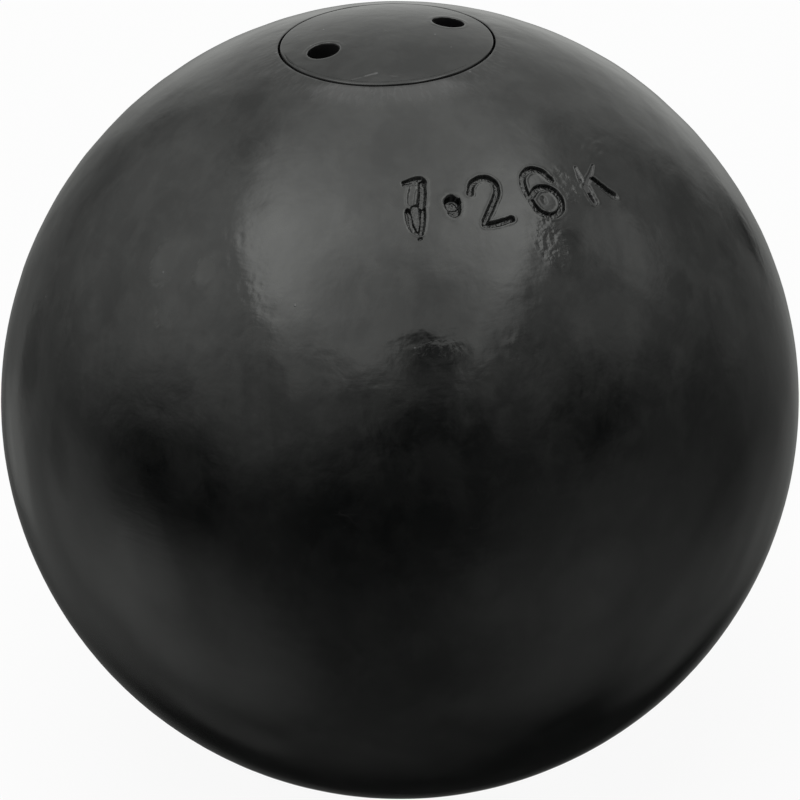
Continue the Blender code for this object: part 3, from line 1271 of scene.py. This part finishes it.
    def build(self, materials: list[Finish]) -> None:
        """Shapes the ball and its bore.

        Args:
            materials: The enamel, the bare machined iron and the joint's thin paint.
        """
        for character in self.characters:
            middle = toward(character.longitude, character.latitude)
            self.strokes += [StruckStroke(stroke, middle, self.reach) for stroke in character.strokes]
        bm = bmesh.new()
        spun(bm, self.outer_profile(), self.steps)
        self.refine(bm)
        self.lay_skin(bm)
        for face in bm.faces:
            middle = face.calc_center_median()
            if middle.xy.length < self.counterbore + 0.02 and 0.0 < middle.z < self.joint_high:
                coat = Coat.BARE if middle.z < self.joint_low else Coat.THIN_PAINT
                face.material_index = coat.value
        painted = set(bm.faces)
        thread = ScrewThread(self.tap_major, self.tap_minor, self.tap_end, self.seat)
        high = thread.shape(bm, self.thread_radius)
        seat = open_loop(bm, lambda co: abs(co.xy.length - self.seat_inner) < 0.02)
        bmesh.ops.bridge_loops(bm, edges=high + seat)
        low = open_loop(bm, lambda co: abs(co.z - self.tap_end) < 0.01)
        heights = [self.tap_end - 0.5 - 3.5 * part for part in range(14)]
        for height in (*heights, self.cone_base):
            low = drawn(bm, low, round_axis(self.bore, height))
        for share in (0.75, 0.5, 0.25):
            height = self.apex + (self.cone_base - self.apex) * share
            low = drawn(bm, low, round_axis(self.bore * share, height))
        to_point(bm, low, Vector((0.0, 0.0, self.apex)))
        self.leave_bare(bm, painted)
        self.finish(bm, materials)


@dataclass
class ScrewPlug(Piece):
    """The flush steel plug: painted cap with two blind spanner holes, collar and screw."""

    name: str = "painted_screw_plug"
    body: Body = Body.PLUG
    slot: Slot = Slot.PLUG_PAINT
    nodes: tuple[str, ...] = ("screw_plug",)
    reach: float = BALL_RADIUS - 0.05
    collar: float = 16.0
    cap_edge: float = 15.3
    paint_round: float = 0.2
    paint_end: float = 58.4
    underside: float = 54.0173
    undercut: float = 12.0
    undercut_end: float = 51.0173
    end: float = 38.0173
    lead_in: float = 12.05
    thread_major: float = 13.38
    thread_minor: float = 12.27
    hole_radius: float = 2.4
    hole_lip: float = 0.14
    hole_depth: float = 5.5
    hole_offset: float = 10.5
    drill_angle: float = 118.0
    turn: float = 26.7
    rays: int = 144
    rings: int = 30

    def hole_middle(self, way: float) -> Vector:
        """Returns the middle of the hole on one side of the axis, at height 0."""
        angle = math.radians(self.turn)
        return Vector((math.cos(angle), math.sin(angle), 0.0)) * (self.hole_offset * way)

    def from_hole(self, co: Vector) -> float:
        """Returns how far a point is from the middle of the nearer hole, seen from above."""
        return min((co.xy - self.hole_middle(way).xy).length for way in (1.0, -1.0))

    def edge_distance(self, way: Vector) -> float:
        """Measures from the hole's middle to the half cap's outline.

        Args:
            way: The unit vector to measure along.

        Returns:
            The distance.
        """
        along = self.hole_offset * way.x
        arc = -along + math.sqrt(along * along + self.cap_edge**2 - self.hole_offset**2)
        chord = -self.hole_offset / way.x if way.x < -1e-6 else math.inf
        return min(arc, chord)

    def half_cap(self, bm: Mesh) -> None:
        """Makes half of the cap as rings that widen from its hole to its outline.

        Args:
            bm: The piece's mesh.
        """
        middle = Vector((self.hole_offset, 0.0, 0.0))
        start = self.hole_radius + self.hole_lip
        place = Matrix.Translation(middle)
        circle = bmesh.ops.create_circle(bm, radius=start, segments=self.rays, matrix=place)
        inner = set(circle["verts"])

        def from_middle(co: Vector, share: float) -> Vector:
            """Returns the point moved to a share of the way from the hole's rim to the outline."""
            way = (co - middle).normalized()
            return middle + way * (start + (self.edge_distance(way) - start) * share)

        drawn(bm, bm.edges[:], lambda co: from_middle(co, 1.0))
        outer = set(bm.verts) - inner
        for side in (-1.0, 1.0):
            corner = Vector((0.0, side * self.cap_edge, 0.0))
            min(outer, key=lambda vert: (vert.co - corner).length).co = corner
        spokes = [edge for edge in bm.edges if (edge.verts[0] in inner) != (edge.verts[1] in inner)]
        bmesh.ops.subdivide_edges(bm, edges=spokes, cuts=self.rings)
        for vert in set(bm.verts) - inner - outer:
            off = vert.co - middle
            far = self.edge_distance(off.normalized())
            vert.co = from_middle(vert.co, clamp((off.length - start) / (far - start)) ** 1.7)

    def rim_wear_and_highlight(self, co: Vector) -> float:
        """Returns how pale the enamel is painted near a hole's rim: worn paint and a painted highlight."""
        near = ease(1.0 - abs(self.from_hole(co) - self.hole_radius - 0.12) / 0.16)
        return near * clamp(0.45 + 0.9 * ripple(co, 2.4, 3.9))

    def cap_height(self, co: Vector) -> float:
        """Works out the painted cap's height, with its waves and the holes' lips.

        Args:
            co: The point, of which only the place seen from above counts.

        Returns:
            The height.
        """
        out = co.x**2 + co.y**2
        dome = Vector((co.x, co.y, math.sqrt(self.reach**2 - out)))
        height = 0.02 * ripple(dome, 16.0, 2.6) + 0.004 * ripple(dome, 4.0, 6.1)
        lip = ease(1.0 - abs(self.from_hole(dome) - 2.85) / 0.45)
        height += lip * (0.034 + 0.014 * ripple(dome, 1.5, 3.3))
        return min(dome.z + height, math.sqrt(MOST_RADIUS**2 - out))

    def on_edge(self, co: Vector, inward: float) -> Vector:
        """Moves a point to the cap's rounded edge.

        The paint leaves a wider joint on the side of the weight mark, and there is a nick in it.

        Args:
            co: The point.
            inward: How far in from the collar's side it goes.

        Returns:
            Its place on the edge.
        """
        near = 0.14 * ease(-co.y / 14.0)
        co = round_axis(self.collar - inward - near, 0.0)(co)
        nick = ease(1.0 - abs(bearing(co) + 66.0) / 19.0) * ease(1.0 - abs(inward - 0.4) / 0.14)
        past = 1.0 - clamp(inward / self.paint_round)
        drop = 0.9 * self.paint_round * (1.0 - math.sqrt(1.0 - past * past))
        return Vector((co.x, co.y, self.cap_height(co) - drop - 0.16 * nick))

    def drill(self, bm: Mesh, middle: Vector) -> None:
        """Takes one spanner hole down from its open rim to its drill point.

        Args:
            bm: The piece's mesh.
            middle: The hole's middle, at height 0.
        """
        near = self.hole_radius + self.hole_lip + 0.02
        loop = open_loop(bm, lambda co: (co.xy - middle.xy).length < near)
        for share, drop in ((0.62, 0.015), (0.3, 0.05), (0.09, 0.085), (0.0, 0.12)):
            radius = self.hole_radius + self.hole_lip * share

            def worn(co: Vector) -> Vector:
                """Returns a point of the rim moved inwards and down, a little unevenly."""
                return round_axis(radius + 0.05 * ripple(co, 2.2, 0.7), co.z - drop, middle)(co)

            loop = drawn(bm, loop, worn)
        top = math.sqrt(BALL_RADIUS**2 - self.hole_offset**2)
        floor = top - self.hole_depth
        for height in (top - 1.1, top - 2.4, top - 3.9, floor):
            loop = drawn(bm, loop, round_axis(self.hole_radius, height, middle))
        point = self.hole_radius / math.tan(math.radians(self.drill_angle / 2))
        loop = drawn(bm, loop, round_axis(self.hole_radius / 2, floor - point / 2, middle))
        to_point(bm, loop, Vector((middle.x, middle.y, floor - point)))

    def shape_edge(self, bm: Mesh, rim: Loop) -> Loop:
        """Rounds the cap's edge over to the collar's side, with a highlight painted along it.

        Args:
            bm: The plug's mesh, with the cap on it.
            rim: The cap's open outer loop.

        Returns:
            The new open loop.
        """
        crust_and_glint = bm.verts.layers.float["crust_and_glint"]
        for inward in (0.62, 0.54, 0.47, 0.4, 0.33, 0.26, 0.2, 0.14, 0.09, 0.05, 0.02, 0.0):
            rim = drawn(bm, rim, lambda co: self.on_edge(co, inward))
            # A painted highlight along the rounded edge, mixed with dried crusts, strongest towards the
            # weight mark.
            band = ease(1.0 - abs(inward - 0.14) / 0.14)
            for vert in {vert for edge in rim for vert in edge.verts}:
                most = 0.35 + 0.65 * ease(1.0 - abs(bearing(vert.co) - 22.0) / 20.0)
                vert[crust_and_glint] = most * band * clamp(0.4 + 1.1 * ripple(vert.co, 2.0, 2.2))
        return rim

    def mark_faces(self, bm: Mesh, top: float) -> None:
        """Gives the faces their coats.

        Args:
            bm: The piece's mesh.
            top: The height where the collar's side starts.
        """
        for face in bm.faces:
            middle = face.calc_center_median()
            out, high = middle.xy.length, middle.z
            bare = (high < self.paint_end and out > 13.3) or (out < 12.5 and high < 54.1)
            joint = out > self.collar - 0.2 and self.paint_end < high < top - 0.2
            hole = self.from_hole(middle) < self.hole_radius + 0.03 and 54.1 < high < top + 1.1
            coat = Coat.THIN_PAINT if joint or hole else Coat.BARE if bare else Coat.ENAMEL
            face.material_index = coat.value

    def thread_radius(self, co: Vector, plain: float) -> float:
        """Returns the thread's radius between its two chamfers."""
        return min(plain, self.lead_in + (co.z - self.end), self.undercut + (self.undercut_end - co.z))

    def build(self, materials: list[Finish]) -> None:
        """Shapes the plug.

        Args:
            materials: The enamel, the bare steel and the holes' thin paint.
        """
        bm = bmesh.new()
        self.half_cap(bm)
        geom = bm.verts[:] + bm.edges[:] + bm.faces[:]
        bmesh.ops.mirror(bm, geom=geom, axis="X", merge_dist=0.002)
        turn = Matrix.Rotation(math.radians(self.turn), 3, "Z")
        bmesh.ops.rotate(bm, cent=CENTRE, matrix=turn, verts=bm.verts)
        crust_and_glint = bm.verts.layers.float.new("crust_and_glint")
        # Each point is painted paler near the holes' rims, for worn paint and a painted highlight, and
        # takes its height.
        for vert in bm.verts:
            vert[crust_and_glint] = self.rim_wear_and_highlight(vert.co)
            vert.co.z = self.cap_height(vert.co)
        rim = open_loop(bm, lambda co: abs(co.xy.length - self.cap_edge) < 0.05)
        for way in (1.0, -1.0):
            self.drill(bm, self.hole_middle(way))
        rim = self.shape_edge(bm, rim)
        top = math.sqrt(self.reach**2 - self.collar**2)
        for radius, height in (
            (self.collar - 0.02, top - 0.5),
            (self.collar, top - 1.6),
            (self.collar, 57.0),
            (self.collar, self.underside + 0.2),
            (self.collar - 0.06, self.underside + 0.06),
            (self.collar - 0.2, self.underside),
            (14.0, self.underside),
            (self.undercut + 0.25, self.underside),
            (self.undercut + 0.07, self.underside - 0.08),
            (self.undercut, self.underside - 0.25),
            (self.undercut, self.undercut_end + 0.3),
        ):
            rim = drawn(bm, rim, round_axis(radius, height))
        self.mark_faces(bm, top)
        marked = set(bm.faces)
        thread = ScrewThread(self.thread_major, self.thread_minor, self.end, self.undercut_end)
        high = thread.shape(bm, self.thread_radius)
        bmesh.ops.bridge_loops(bm, edges=high + rim)
        low = open_loop(bm, lambda co: abs(co.z - self.end) < 0.01)
        for radius in (11.6, 8.0, 4.0, 1.6):
            low = drawn(bm, low, round_axis(radius, self.end))
        low = drawn(bm, low, round_axis(1.5, self.end + 0.1))
        to_point(bm, low, Vector((0.0, 0.0, self.end + 1.5)))
        self.leave_bare(bm, marked)
        self.finish(bm, materials)


@dataclass
class SealingWasher(Piece):
    """The flat annealed copper ring that the plug's collar is pulled down on."""

    name: str = "copper_washer"
    body: Body = Body.WASHER
    slot: Slot = Slot.COPPER
    nodes: tuple[str, ...] = ("sealing_washer",)
    inner: float = 13.65
    outer: float = 15.95
    low: float = 51.7173
    high: float = 53.7173
    rounding: float = 0.25

    def build(self, materials: list[Finish]) -> None:
        """Shapes the ring, with rounded edges and the faint imprints of the seat and the collar.

        Args:
            materials: The copper.
        """
        small = self.rounding
        left, right = self.inner + small, self.outer - small
        below, above = self.low + small, self.high - small
        corners = {180: (left, below), 270: (right, below), 0: (right, above), 90: (left, above)}
        imprints = {
            180: [(radius, self.low + dent) for radius, dent in ((14.0, 0.0), (14.1, 0.03), (15.4, 0.03))],
            0: [(radius, self.high - dent) for radius, dent in ((15.5, 0.0), (15.4, 0.03), (14.2, 0.03))],
        }
        profile: list[Point] = []
        for start, (radius, height) in corners.items():
            for angle in (math.radians(start + 22.5 * part) for part in range(5)):
                profile.append((radius + small * math.cos(angle), height + small * math.sin(angle)))
            profile += imprints.get(start, [])
        bm = bmesh.new()
        spun(bm, [*profile, profile[0]], 180)
        for vert in bm.verts:
            vert.co.z += 0.012 * ripple(vert.co, 5.0, 1.1)
        self.finish(bm, materials, 60.0)


@dataclass
class FeltWad(Piece):
    """One pressed felt disc of the packing."""

    name: str = "felt_wad"
    body: Body = Body.BALL
    slot: Slot = Slot.FELT
    nodes: tuple[str, ...] = ()
    radius: float = 12.2
    low: float = 0.0
    high: float = 0.0
    rounding: float = 0.8
    presses: tuple[Vector, ...] = ()

    def build(self, materials: list[Finish]) -> None:
        """Shapes the disc, matted all over and dented where the lead presses on it.

        Args:
            materials: The felt.
        """
        wide = self.rounding
        edge, span = self.radius - wide, self.high - self.low - 2 * wide
        arc = [math.radians(15.0 * part) for part in range(7)]
        low_arc = [(edge + wide * math.sin(a), self.low + wide - wide * math.cos(a)) for a in arc]
        high_arc = [(radius, self.low + self.high - height) for radius, height in reversed(low_arc)]
        flats = [edge * part / 18 for part in range(18)]
        wall = [(self.radius, self.low + wide + span * part / 12) for part in range(1, 12)]
        profile = [*((radius, self.low) for radius in flats), *low_arc, *wall, *high_arc]
        profile += [(radius, self.high) for radius in reversed(flats)]
        bm = bmesh.new()
        spun(bm, profile, 110)
        middle = Vector((0.0, 0.0, (self.low + self.high) / 2))
        for vert in bm.verts:
            fuzz = 0.07 * ripple(vert.co, 1.1, 2.0) + 0.09 * ripple(vert.co, 3.4, 5.0) - 0.12
            vert.co += (vert.co - middle).normalized() * fuzz
            for press in self.presses:
                if vert.co.z < middle.z:
                    vert.co.z += 0.4 * ease(1.0 - (vert.co.xy - press.xy).length / 2.6)
        self.finish(bm, materials, 80.0)


@dataclass
class LeadPellet(Piece):
    """One pellet of lead shot, with its swaging belt and the flats its neighbours pressed."""

    name: str = "lead_shot"
    body: Body = Body.BALL
    slot: Slot = Slot.LEAD
    nodes: tuple[str, ...] = ()
    radius: float = 4.0
    middle: Vector = field(default_factory=Vector)
    number: int = 0

    def build(self, materials: list[Finish]) -> None:
        """Shapes the pellet in its place.

        Args:
            materials: The lead.
        """
        seed = 1.0 + 0.37 * self.number
        bm = bmesh.new()
        bmesh.ops.create_icosphere(bm, subdivisions=4, radius=1.0)
        belt = Vector((math.sin(seed * 5), math.cos(seed * 3), math.sin(seed * 7))).normalized()
        turns = (0.0, 2.0, 4.1)
        flats = [Vector((math.cos(seed + t), math.sin(seed + t), 0.5 * math.sin(seed * t))) for t in turns]
        for vert in bm.verts:
            way = vert.co.normalized()
            reach = self.radius - 0.07 + 0.03 * ripple(way * 4.0, 3.0, seed)
            reach += 0.05 * ease(1.0 - abs(way.dot(belt)) / 0.07)
            for facing in (way.dot(flat.normalized()) for flat in flats):
                if facing > 0.9:
                    reach = min(reach, (self.radius - 0.16) / facing)
            vert.co = self.middle + way * min(reach, self.radius)
        self.finish(bm, materials, 80.0)


# Studio


@dataclass(frozen=True)
class SoftSpot:
    """A soft round patch of light, or of shade: its place, where it ends and is full, and its light.

    On the soft box the sizes are in metres, and on the tent in degrees round the ball.
    """

    x: float
    y: float
    outer: float
    light: float
    inner: float = 1.0


# Most of these patches were fitted to the photo's tones, and the others were set one by one
PANEL_SPOTS = (
    SoftSpot(-1.04, -0.4, 1.27, 2.1, 0.0),
    SoftSpot(1.22, -0.32, 1.18, 1.8, 0.07),
    SoftSpot(0.02, 0.23, 1.22, 0.54, 0.59),
    SoftSpot(-1.46, 0.55, 0.8, -0.6, 0.37),
    SoftSpot(0.61, -1.4, 0.89, -0.21, 0.4),
    SoftSpot(-0.48, -0.7, 0.42, -0.11, 0.28),
    SoftSpot(-1.05, -2.08, 0.6, -0.45, 0.05),
    SoftSpot(-0.4, -2.1, 0.45, 0.3, 0.05),
)
TENT_SPOTS = tuple(
    SoftSpot(*numbers)
    for numbers in (
        (-101.5, 39.1, 47.8, 0.68), (172.0, 20.2, 40.4, 0.34, 26.9), (74.0, 64.1, 69.1, 0.52),
        (-48.6, 48.8, 56.0, 0.66), (26.1, 11.7, 26.6, 0.09), (153.8, 42.0, 91.8, 0.24, 52.0),
        (-108.0, -20.2, 45.0, 0.23), (-68.0, -41.6, 32.2, 0.22), (56.8, -32.1, 48.1, 0.26),
        (-30.7, -45.7, 67.1, 0.12), (189.8, -2.3, 52.6, 0.06, 35.3), (98.7, 31.4, 13.8, 0.35),
        (114.6, -41.3, 23.6, 0.13), (114.0, -38.0, 9.0, 0.04), (-100.0, -26.7, 20.2, 0.13),
        (133.9, -12.6, 22.7, -0.03, 10.9), (-139.9, -25.2, 8.6, 0.1, 2.4), (-149.0, -26.0, 6.0, 0.09),
        (-131.0, -12.0, 8.0, -0.1), (-109.0, -18.0, 7.0, -0.08), (146.0, -10.0, 6.0, -0.09),
        (139.7, -33.3, 11.4, 0.06, 0.5), (-68.3, -5.0, 24.4, -0.05, 13.4), (-62.0, -4.0, 8.0, 0.08),
        (-14.5, -14.5, 21.6, -0.06, 0.5), (55.4, -32.7, 14.0, 0.09, 0.5),
        (26.5, -51.2, 17.9, -0.07, 0.5), (-77.2, -28.7, 12.7, 0.1, 0.5), (81.0, 46.5, 10.0, -0.3),
        (-3.0, 29.0, 13.0, -0.15, 0.5), (18.0, 21.0, 12.0, -0.08, 0.5), (57.0, 15.0, 18.0, -0.12, 0.5),
        (146.0, -4.0, 9.0, -0.13), (112.0, 1.0, 10.0, 0.08), (-120.0, -62.0, 11.0, 0.05),
        (-153.0, 9.0, 10.0, -0.05),
    )
)


@dataclass
class Studio:
    """The floor, the lamp, the camera, and the soft box and tent that glossy surfaces mirror."""

    camera_distance: float = 562.5
    camera_elevation: float = 27.8
    camera_roll: float = 2.15
    view_slope: float = 0.1120
    white_share: float = 0.93
    panel_height: float = 1.5
    # The soft box's edges, each with its middle, how wide it fades and for a side how far it leans
    panel_left: Triple = (-1.11, 0.36, 0.2)
    panel_right: Triple = (1.11, 0.5, 0.0)
    panel_front: Point = (-2.03, 1.1)
    panel_back: Point = (1.8, 1.0)
    panel_light: float = 1.09
    panel_slope: Point = (0.1, -0.2)
    panel_gap: SoftSpot = SoftSpot(0.37, -1.96, 0.6, 1.0, 0.22)
    tent_light: float = 0.012

    def build(self) -> None:
        """Makes everything round the object."""
        self.make_world()
        self.make_lamp()
        self.make_floor()
        self.make_tent()
        self.make_panel()
        self.make_camera()
        bpy.context.scene.view_settings.view_transform = "Standard"

    def background_rays(self, graph: Graph) -> Socket:
        """Finds the rays that should meet the plain white background.

        Args:
            graph: The node tree that asks.

        Returns:
            1 for such a ray, and 0 for any other.
        """
        path = graph.node("LightPath").outputs
        seen = graph.plus(path["Is Camera Ray"], path["Is Glossy Ray"])
        return graph.math("ADD", seen, path["Is Transmission Ray"], True)

    def make_world(self) -> None:
        """Makes a world that is white behind the object and gives plain soft light."""
        world = bpy.data.worlds.new("studio_air")
        world.use_nodes = True
        world.node_tree.nodes.clear()
        graph = Graph(world.node_tree)
        strength = graph.remap(self.background_rays(graph), 0.0, 1.0, 0.4, 1.0)
        air = graph.node("Background", {"Color": (1.0, 1.0, 1.0, 1.0), "Strength": strength})
        graph.node("OutputWorld", {"Surface": air.outputs[0]})
        bpy.context.scene.world = world

    def make_lamp(self) -> None:
        """Hangs one large soft lamp over the object."""
        lamp = bpy.data.lights.new("overhead_lamp", "AREA")
        lamp.shape, lamp.size, lamp.energy = "DISK", 1.4, 13.0
        hung = bpy.data.objects.new("overhead_lamp", lamp)
        hung.location = (-0.15, -0.2, 1.5)
        hung.rotation_euler = Vector(hung.location).to_track_quat("Z", "Y").to_euler()
        hung.visible_glossy = False
        bpy.context.scene.collection.objects.link(hung)

    def stage_piece(self, name: str, bm: Mesh, material: Finish, mirrored_only: bool) -> None:
        """Makes a stage object.

        Args:
            name: Its name.
            bm: Its mesh in metres, which is freed.
            material: Its material.
            mirrored_only: Whether it is seen only in reflections, and not the other way round.
        """
        mesh = bpy.data.meshes.new(name)
        bm.to_mesh(mesh)
        bm.free()
        mesh.materials.append(material)
        made = bpy.data.objects.new(name, mesh)
        bpy.context.scene.collection.objects.link(made)
        made.visible_glossy = mirrored_only
        if mirrored_only:
            made.visible_camera = made.visible_diffuse = made.visible_shadow = False
            made.visible_transmission = made.visible_volume_scatter = False

    def make_card(self, name: str, half: float, height: float, material: Finish, faces_down: bool) -> None:
        """Makes a flat square stage object.

        Args:
            name: Its name.
            half: Half its width in metres.
            height: Its height in metres.
            material: Its material.
            faces_down: Whether it faces down and is seen only in reflections.
        """
        bm = bmesh.new()
        bmesh.ops.create_grid(bm, x_segments=1, y_segments=1, size=half)
        bmesh.ops.translate(bm, verts=bm.verts, vec=(0.0, 0.0, height))
        if faces_down:
            bmesh.ops.reverse_faces(bm, faces=bm.faces)
        self.stage_piece(name, bm, material, faces_down)

    def make_floor(self) -> None:
        """Lays a wide pale floor that shows white and keeps the object's shadow."""
        made = Material("pale_floor")
        graph = made.graph
        share = graph.remap(graph.vector("LENGTH", made.place), 0.25, 0.8, self.white_share, 1.0)
        share = graph.times(share, self.background_rays(graph))
        matt = graph.node("BsdfDiffuse", {"Color": (0.86, 0.86, 0.86, 1.0)})
        white = graph.node("Emission", {"Color": (1.0, 1.0, 1.0, 1.0), "Strength": 1.0})
        both = graph.node("MixShader", {0: share, 1: matt.outputs[0], 2: white.outputs[0]})
        graph.node("OutputMaterial", {"Surface": both.outputs[0]})
        self.make_card("pale_floor", 6.0, -BALL_RADIUS * MM, made.data, False)

    def shining(self, made: Material, light: Number, share: Number | None = None) -> Finish:
        """Closes a card's material as plain light.

        Args:
            made: The card's material.
            light: The light's strength.
            share: Thins the card out where it is less than 1.

        Returns:
            The finished material.
        """
        graph = made.graph
        shown = graph.node("Emission", {"Color": (0.985, 1.0, 0.97, 1.0), "Strength": light})
        if share is not None:
            clear = graph.node("BsdfTransparent").outputs[0]
            shown = graph.node("MixShader", {0: share, 1: clear, 2: shown.outputs[0]})
        graph.node("OutputMaterial", {"Surface": shown.outputs[0]})
        made.data.cycles.emission_sampling = "NONE"
        return made.data

    def make_tent(self) -> None:
        """Makes the soft tent round the set, which glossy surfaces mirror."""
        made = Material("tent_light")
        graph = made.graph
        way = graph.vector("NORMALIZE", made.place)
        light = self.tent_light
        for spot in TENT_SPOTS:
            facing = graph.vector("DOT_PRODUCT", way, toward(spot.x, spot.y))
            end, full = (math.cos(math.radians(angle)) for angle in (spot.outer, spot.inner))
            light = graph.plus(light, graph.remap(facing, end, full, 0.0, spot.light))
        bm = bmesh.new()
        bmesh.ops.create_icosphere(bm, subdivisions=4, radius=5.0)
        bmesh.ops.reverse_faces(bm, faces=bm.faces)
        self.stage_piece("tent", bm, self.shining(made, graph.most(light, 0.0)), True)

    def panel_patch(self, made: Material, spot: SoftSpot, middle: float, outside: float) -> Socket:
        """Returns a round patch on the soft box, eased from its middle value to the outside's."""
        away = made.graph.vector("DISTANCE", made.place, (spot.x, spot.y, self.panel_height))
        return made.graph.remap(away, spot.inner, spot.outer, middle, outside)

    def make_panel(self) -> None:
        """Hangs the soft box overhead, brighter near its lamps and soft at its edges."""
        made = Material("panel_light")
        graph = made.graph
        x, y, _ = graph.parts(made.place)
        sides = (self.panel_left, self.panel_right)
        left, right = (graph.less(x, graph.times(y, lean)) for _, _, lean in sides)
        share = 1.0
        for across, (edge, soft), way in (
            (left, self.panel_left[:2], 0.5),
            (right, self.panel_right[:2], -0.5),
            (y, self.panel_front, 0.5),
            (y, self.panel_back, -0.5),
        ):
            share = graph.times(share, graph.remap(across, edge - soft * way, edge + soft * way))
        tilt = [graph.times(across, slope) for across, slope in zip((x, y), self.panel_slope)]
        patches = [self.panel_patch(made, spot, spot.light, 0.0) for spot in PANEL_SPOTS]
        light = graph.plus(self.panel_light, *tilt, *patches)
        gap = self.panel_patch(made, self.panel_gap, 1.0 - self.panel_gap.light, 1.0)
        material = self.shining(made, graph.times(light, gap), share)
        self.make_card("soft_box", 3.0, self.panel_height, material, True)

    def make_camera(self) -> None:
        """Sets the camera at the photograph's angle, so that the ball fills the frame."""
        camera = bpy.data.cameras.new("photo_camera")
        camera.lens = camera.sensor_width / 2 / self.view_slope
        camera.clip_start, camera.clip_end = 0.01, 50.0
        made = bpy.data.objects.new("photo_camera", camera)
        back = toward(0.0, self.camera_elevation)
        made.location = back * self.camera_distance * MM
        roll = Matrix.Rotation(math.radians(-self.camera_roll), 4, "Z")
        made.rotation_euler = (back.to_track_quat("Z", "Y").to_matrix().to_4x4() @ roll).to_euler()
        bpy.context.scene.collection.objects.link(made)
        bpy.context.scene.camera = made


# The scuffs and crusts that show in the enamel of the ball beside the plug, and of the plug's cap
BALL_SCUFFS = (Scuff(-16.55, -1.7, 60.0, 0.5, 0.34, 0.9), Scuff(12.1, -11.7, 20.0, 0.5, 0.4, 0.8))
CAP_SCUFFS = (
    Scuff(-2.55, -13.3, 17.0, 2.5, 0.4),
    Scuff(-1.75, -13.05, 20.0, 0.9, 0.55, 0.9),
    Scuff(-4.6, -13.9, 12.0, 2.2, 0.3, 0.35),
    Scuff(0.9, -13.9, -10.0, 1.6, 0.5, 0.2),
    Scuff(-13.2, 3.0, 25.0, 1.6, 0.25, 0.35),
    Scuff(-11.3, -2.4, 0.0, 0.3, 0.3, 0.9),
    Scuff(-6.9, -4.6, 0.0, 0.35, 0.3, 0.7),
    Scuff(4.6, 9.0, -35.0, 0.9, 0.2, 0.5),
)


def main() -> None:
    """Builds the studio and every piece."""
    logging.basicConfig(level=logging.INFO, format="%(name)s: %(message)s")
    Studio().build()
    enamel = BlackEnamel("ball_enamel", scuffs=BALL_SCUFFS).make()
    cap_enamel = BlackEnamel("plug_enamel", dust_share=0.07, fan=0.0, scuffs=CAP_SCUFFS).make()
    thin, iron, steel = ThinPaint().make(), MACHINED_IRON.make(), OILED_STEEL.make()
    copper, felt, lead = ANNEALED_COPPER.make(), WoolFelt().make(), DULL_LEAD.make()

    BallShell().build([enamel, iron, thin])
    ScrewPlug().build([cap_enamel, steel, thin])
    SealingWasher().build([copper])
    pellets = sorted(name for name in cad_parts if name.startswith("lead_pellet"))
    middles = [sum(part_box(name), Vector()) / 2 / MM for name in pellets]
    for number, (name, middle) in enumerate(zip(pellets, middles), 1):
        LeadPellet(f"lead_shot_{number:02d}", nodes=(name,), middle=middle, number=number).build([lead])
    for name in sorted(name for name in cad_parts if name.startswith("felt_wad")):
        low, high = (corner.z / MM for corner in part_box(name))
        near = tuple(middle for middle in middles if abs(low - middle.z) < 6.0)
        wad = FeltWad(name.replace("felt", "wool"), nodes=(name,), low=low, high=high, presses=near)
        wad.build([felt])


if __name__ == "__main__":
    main()
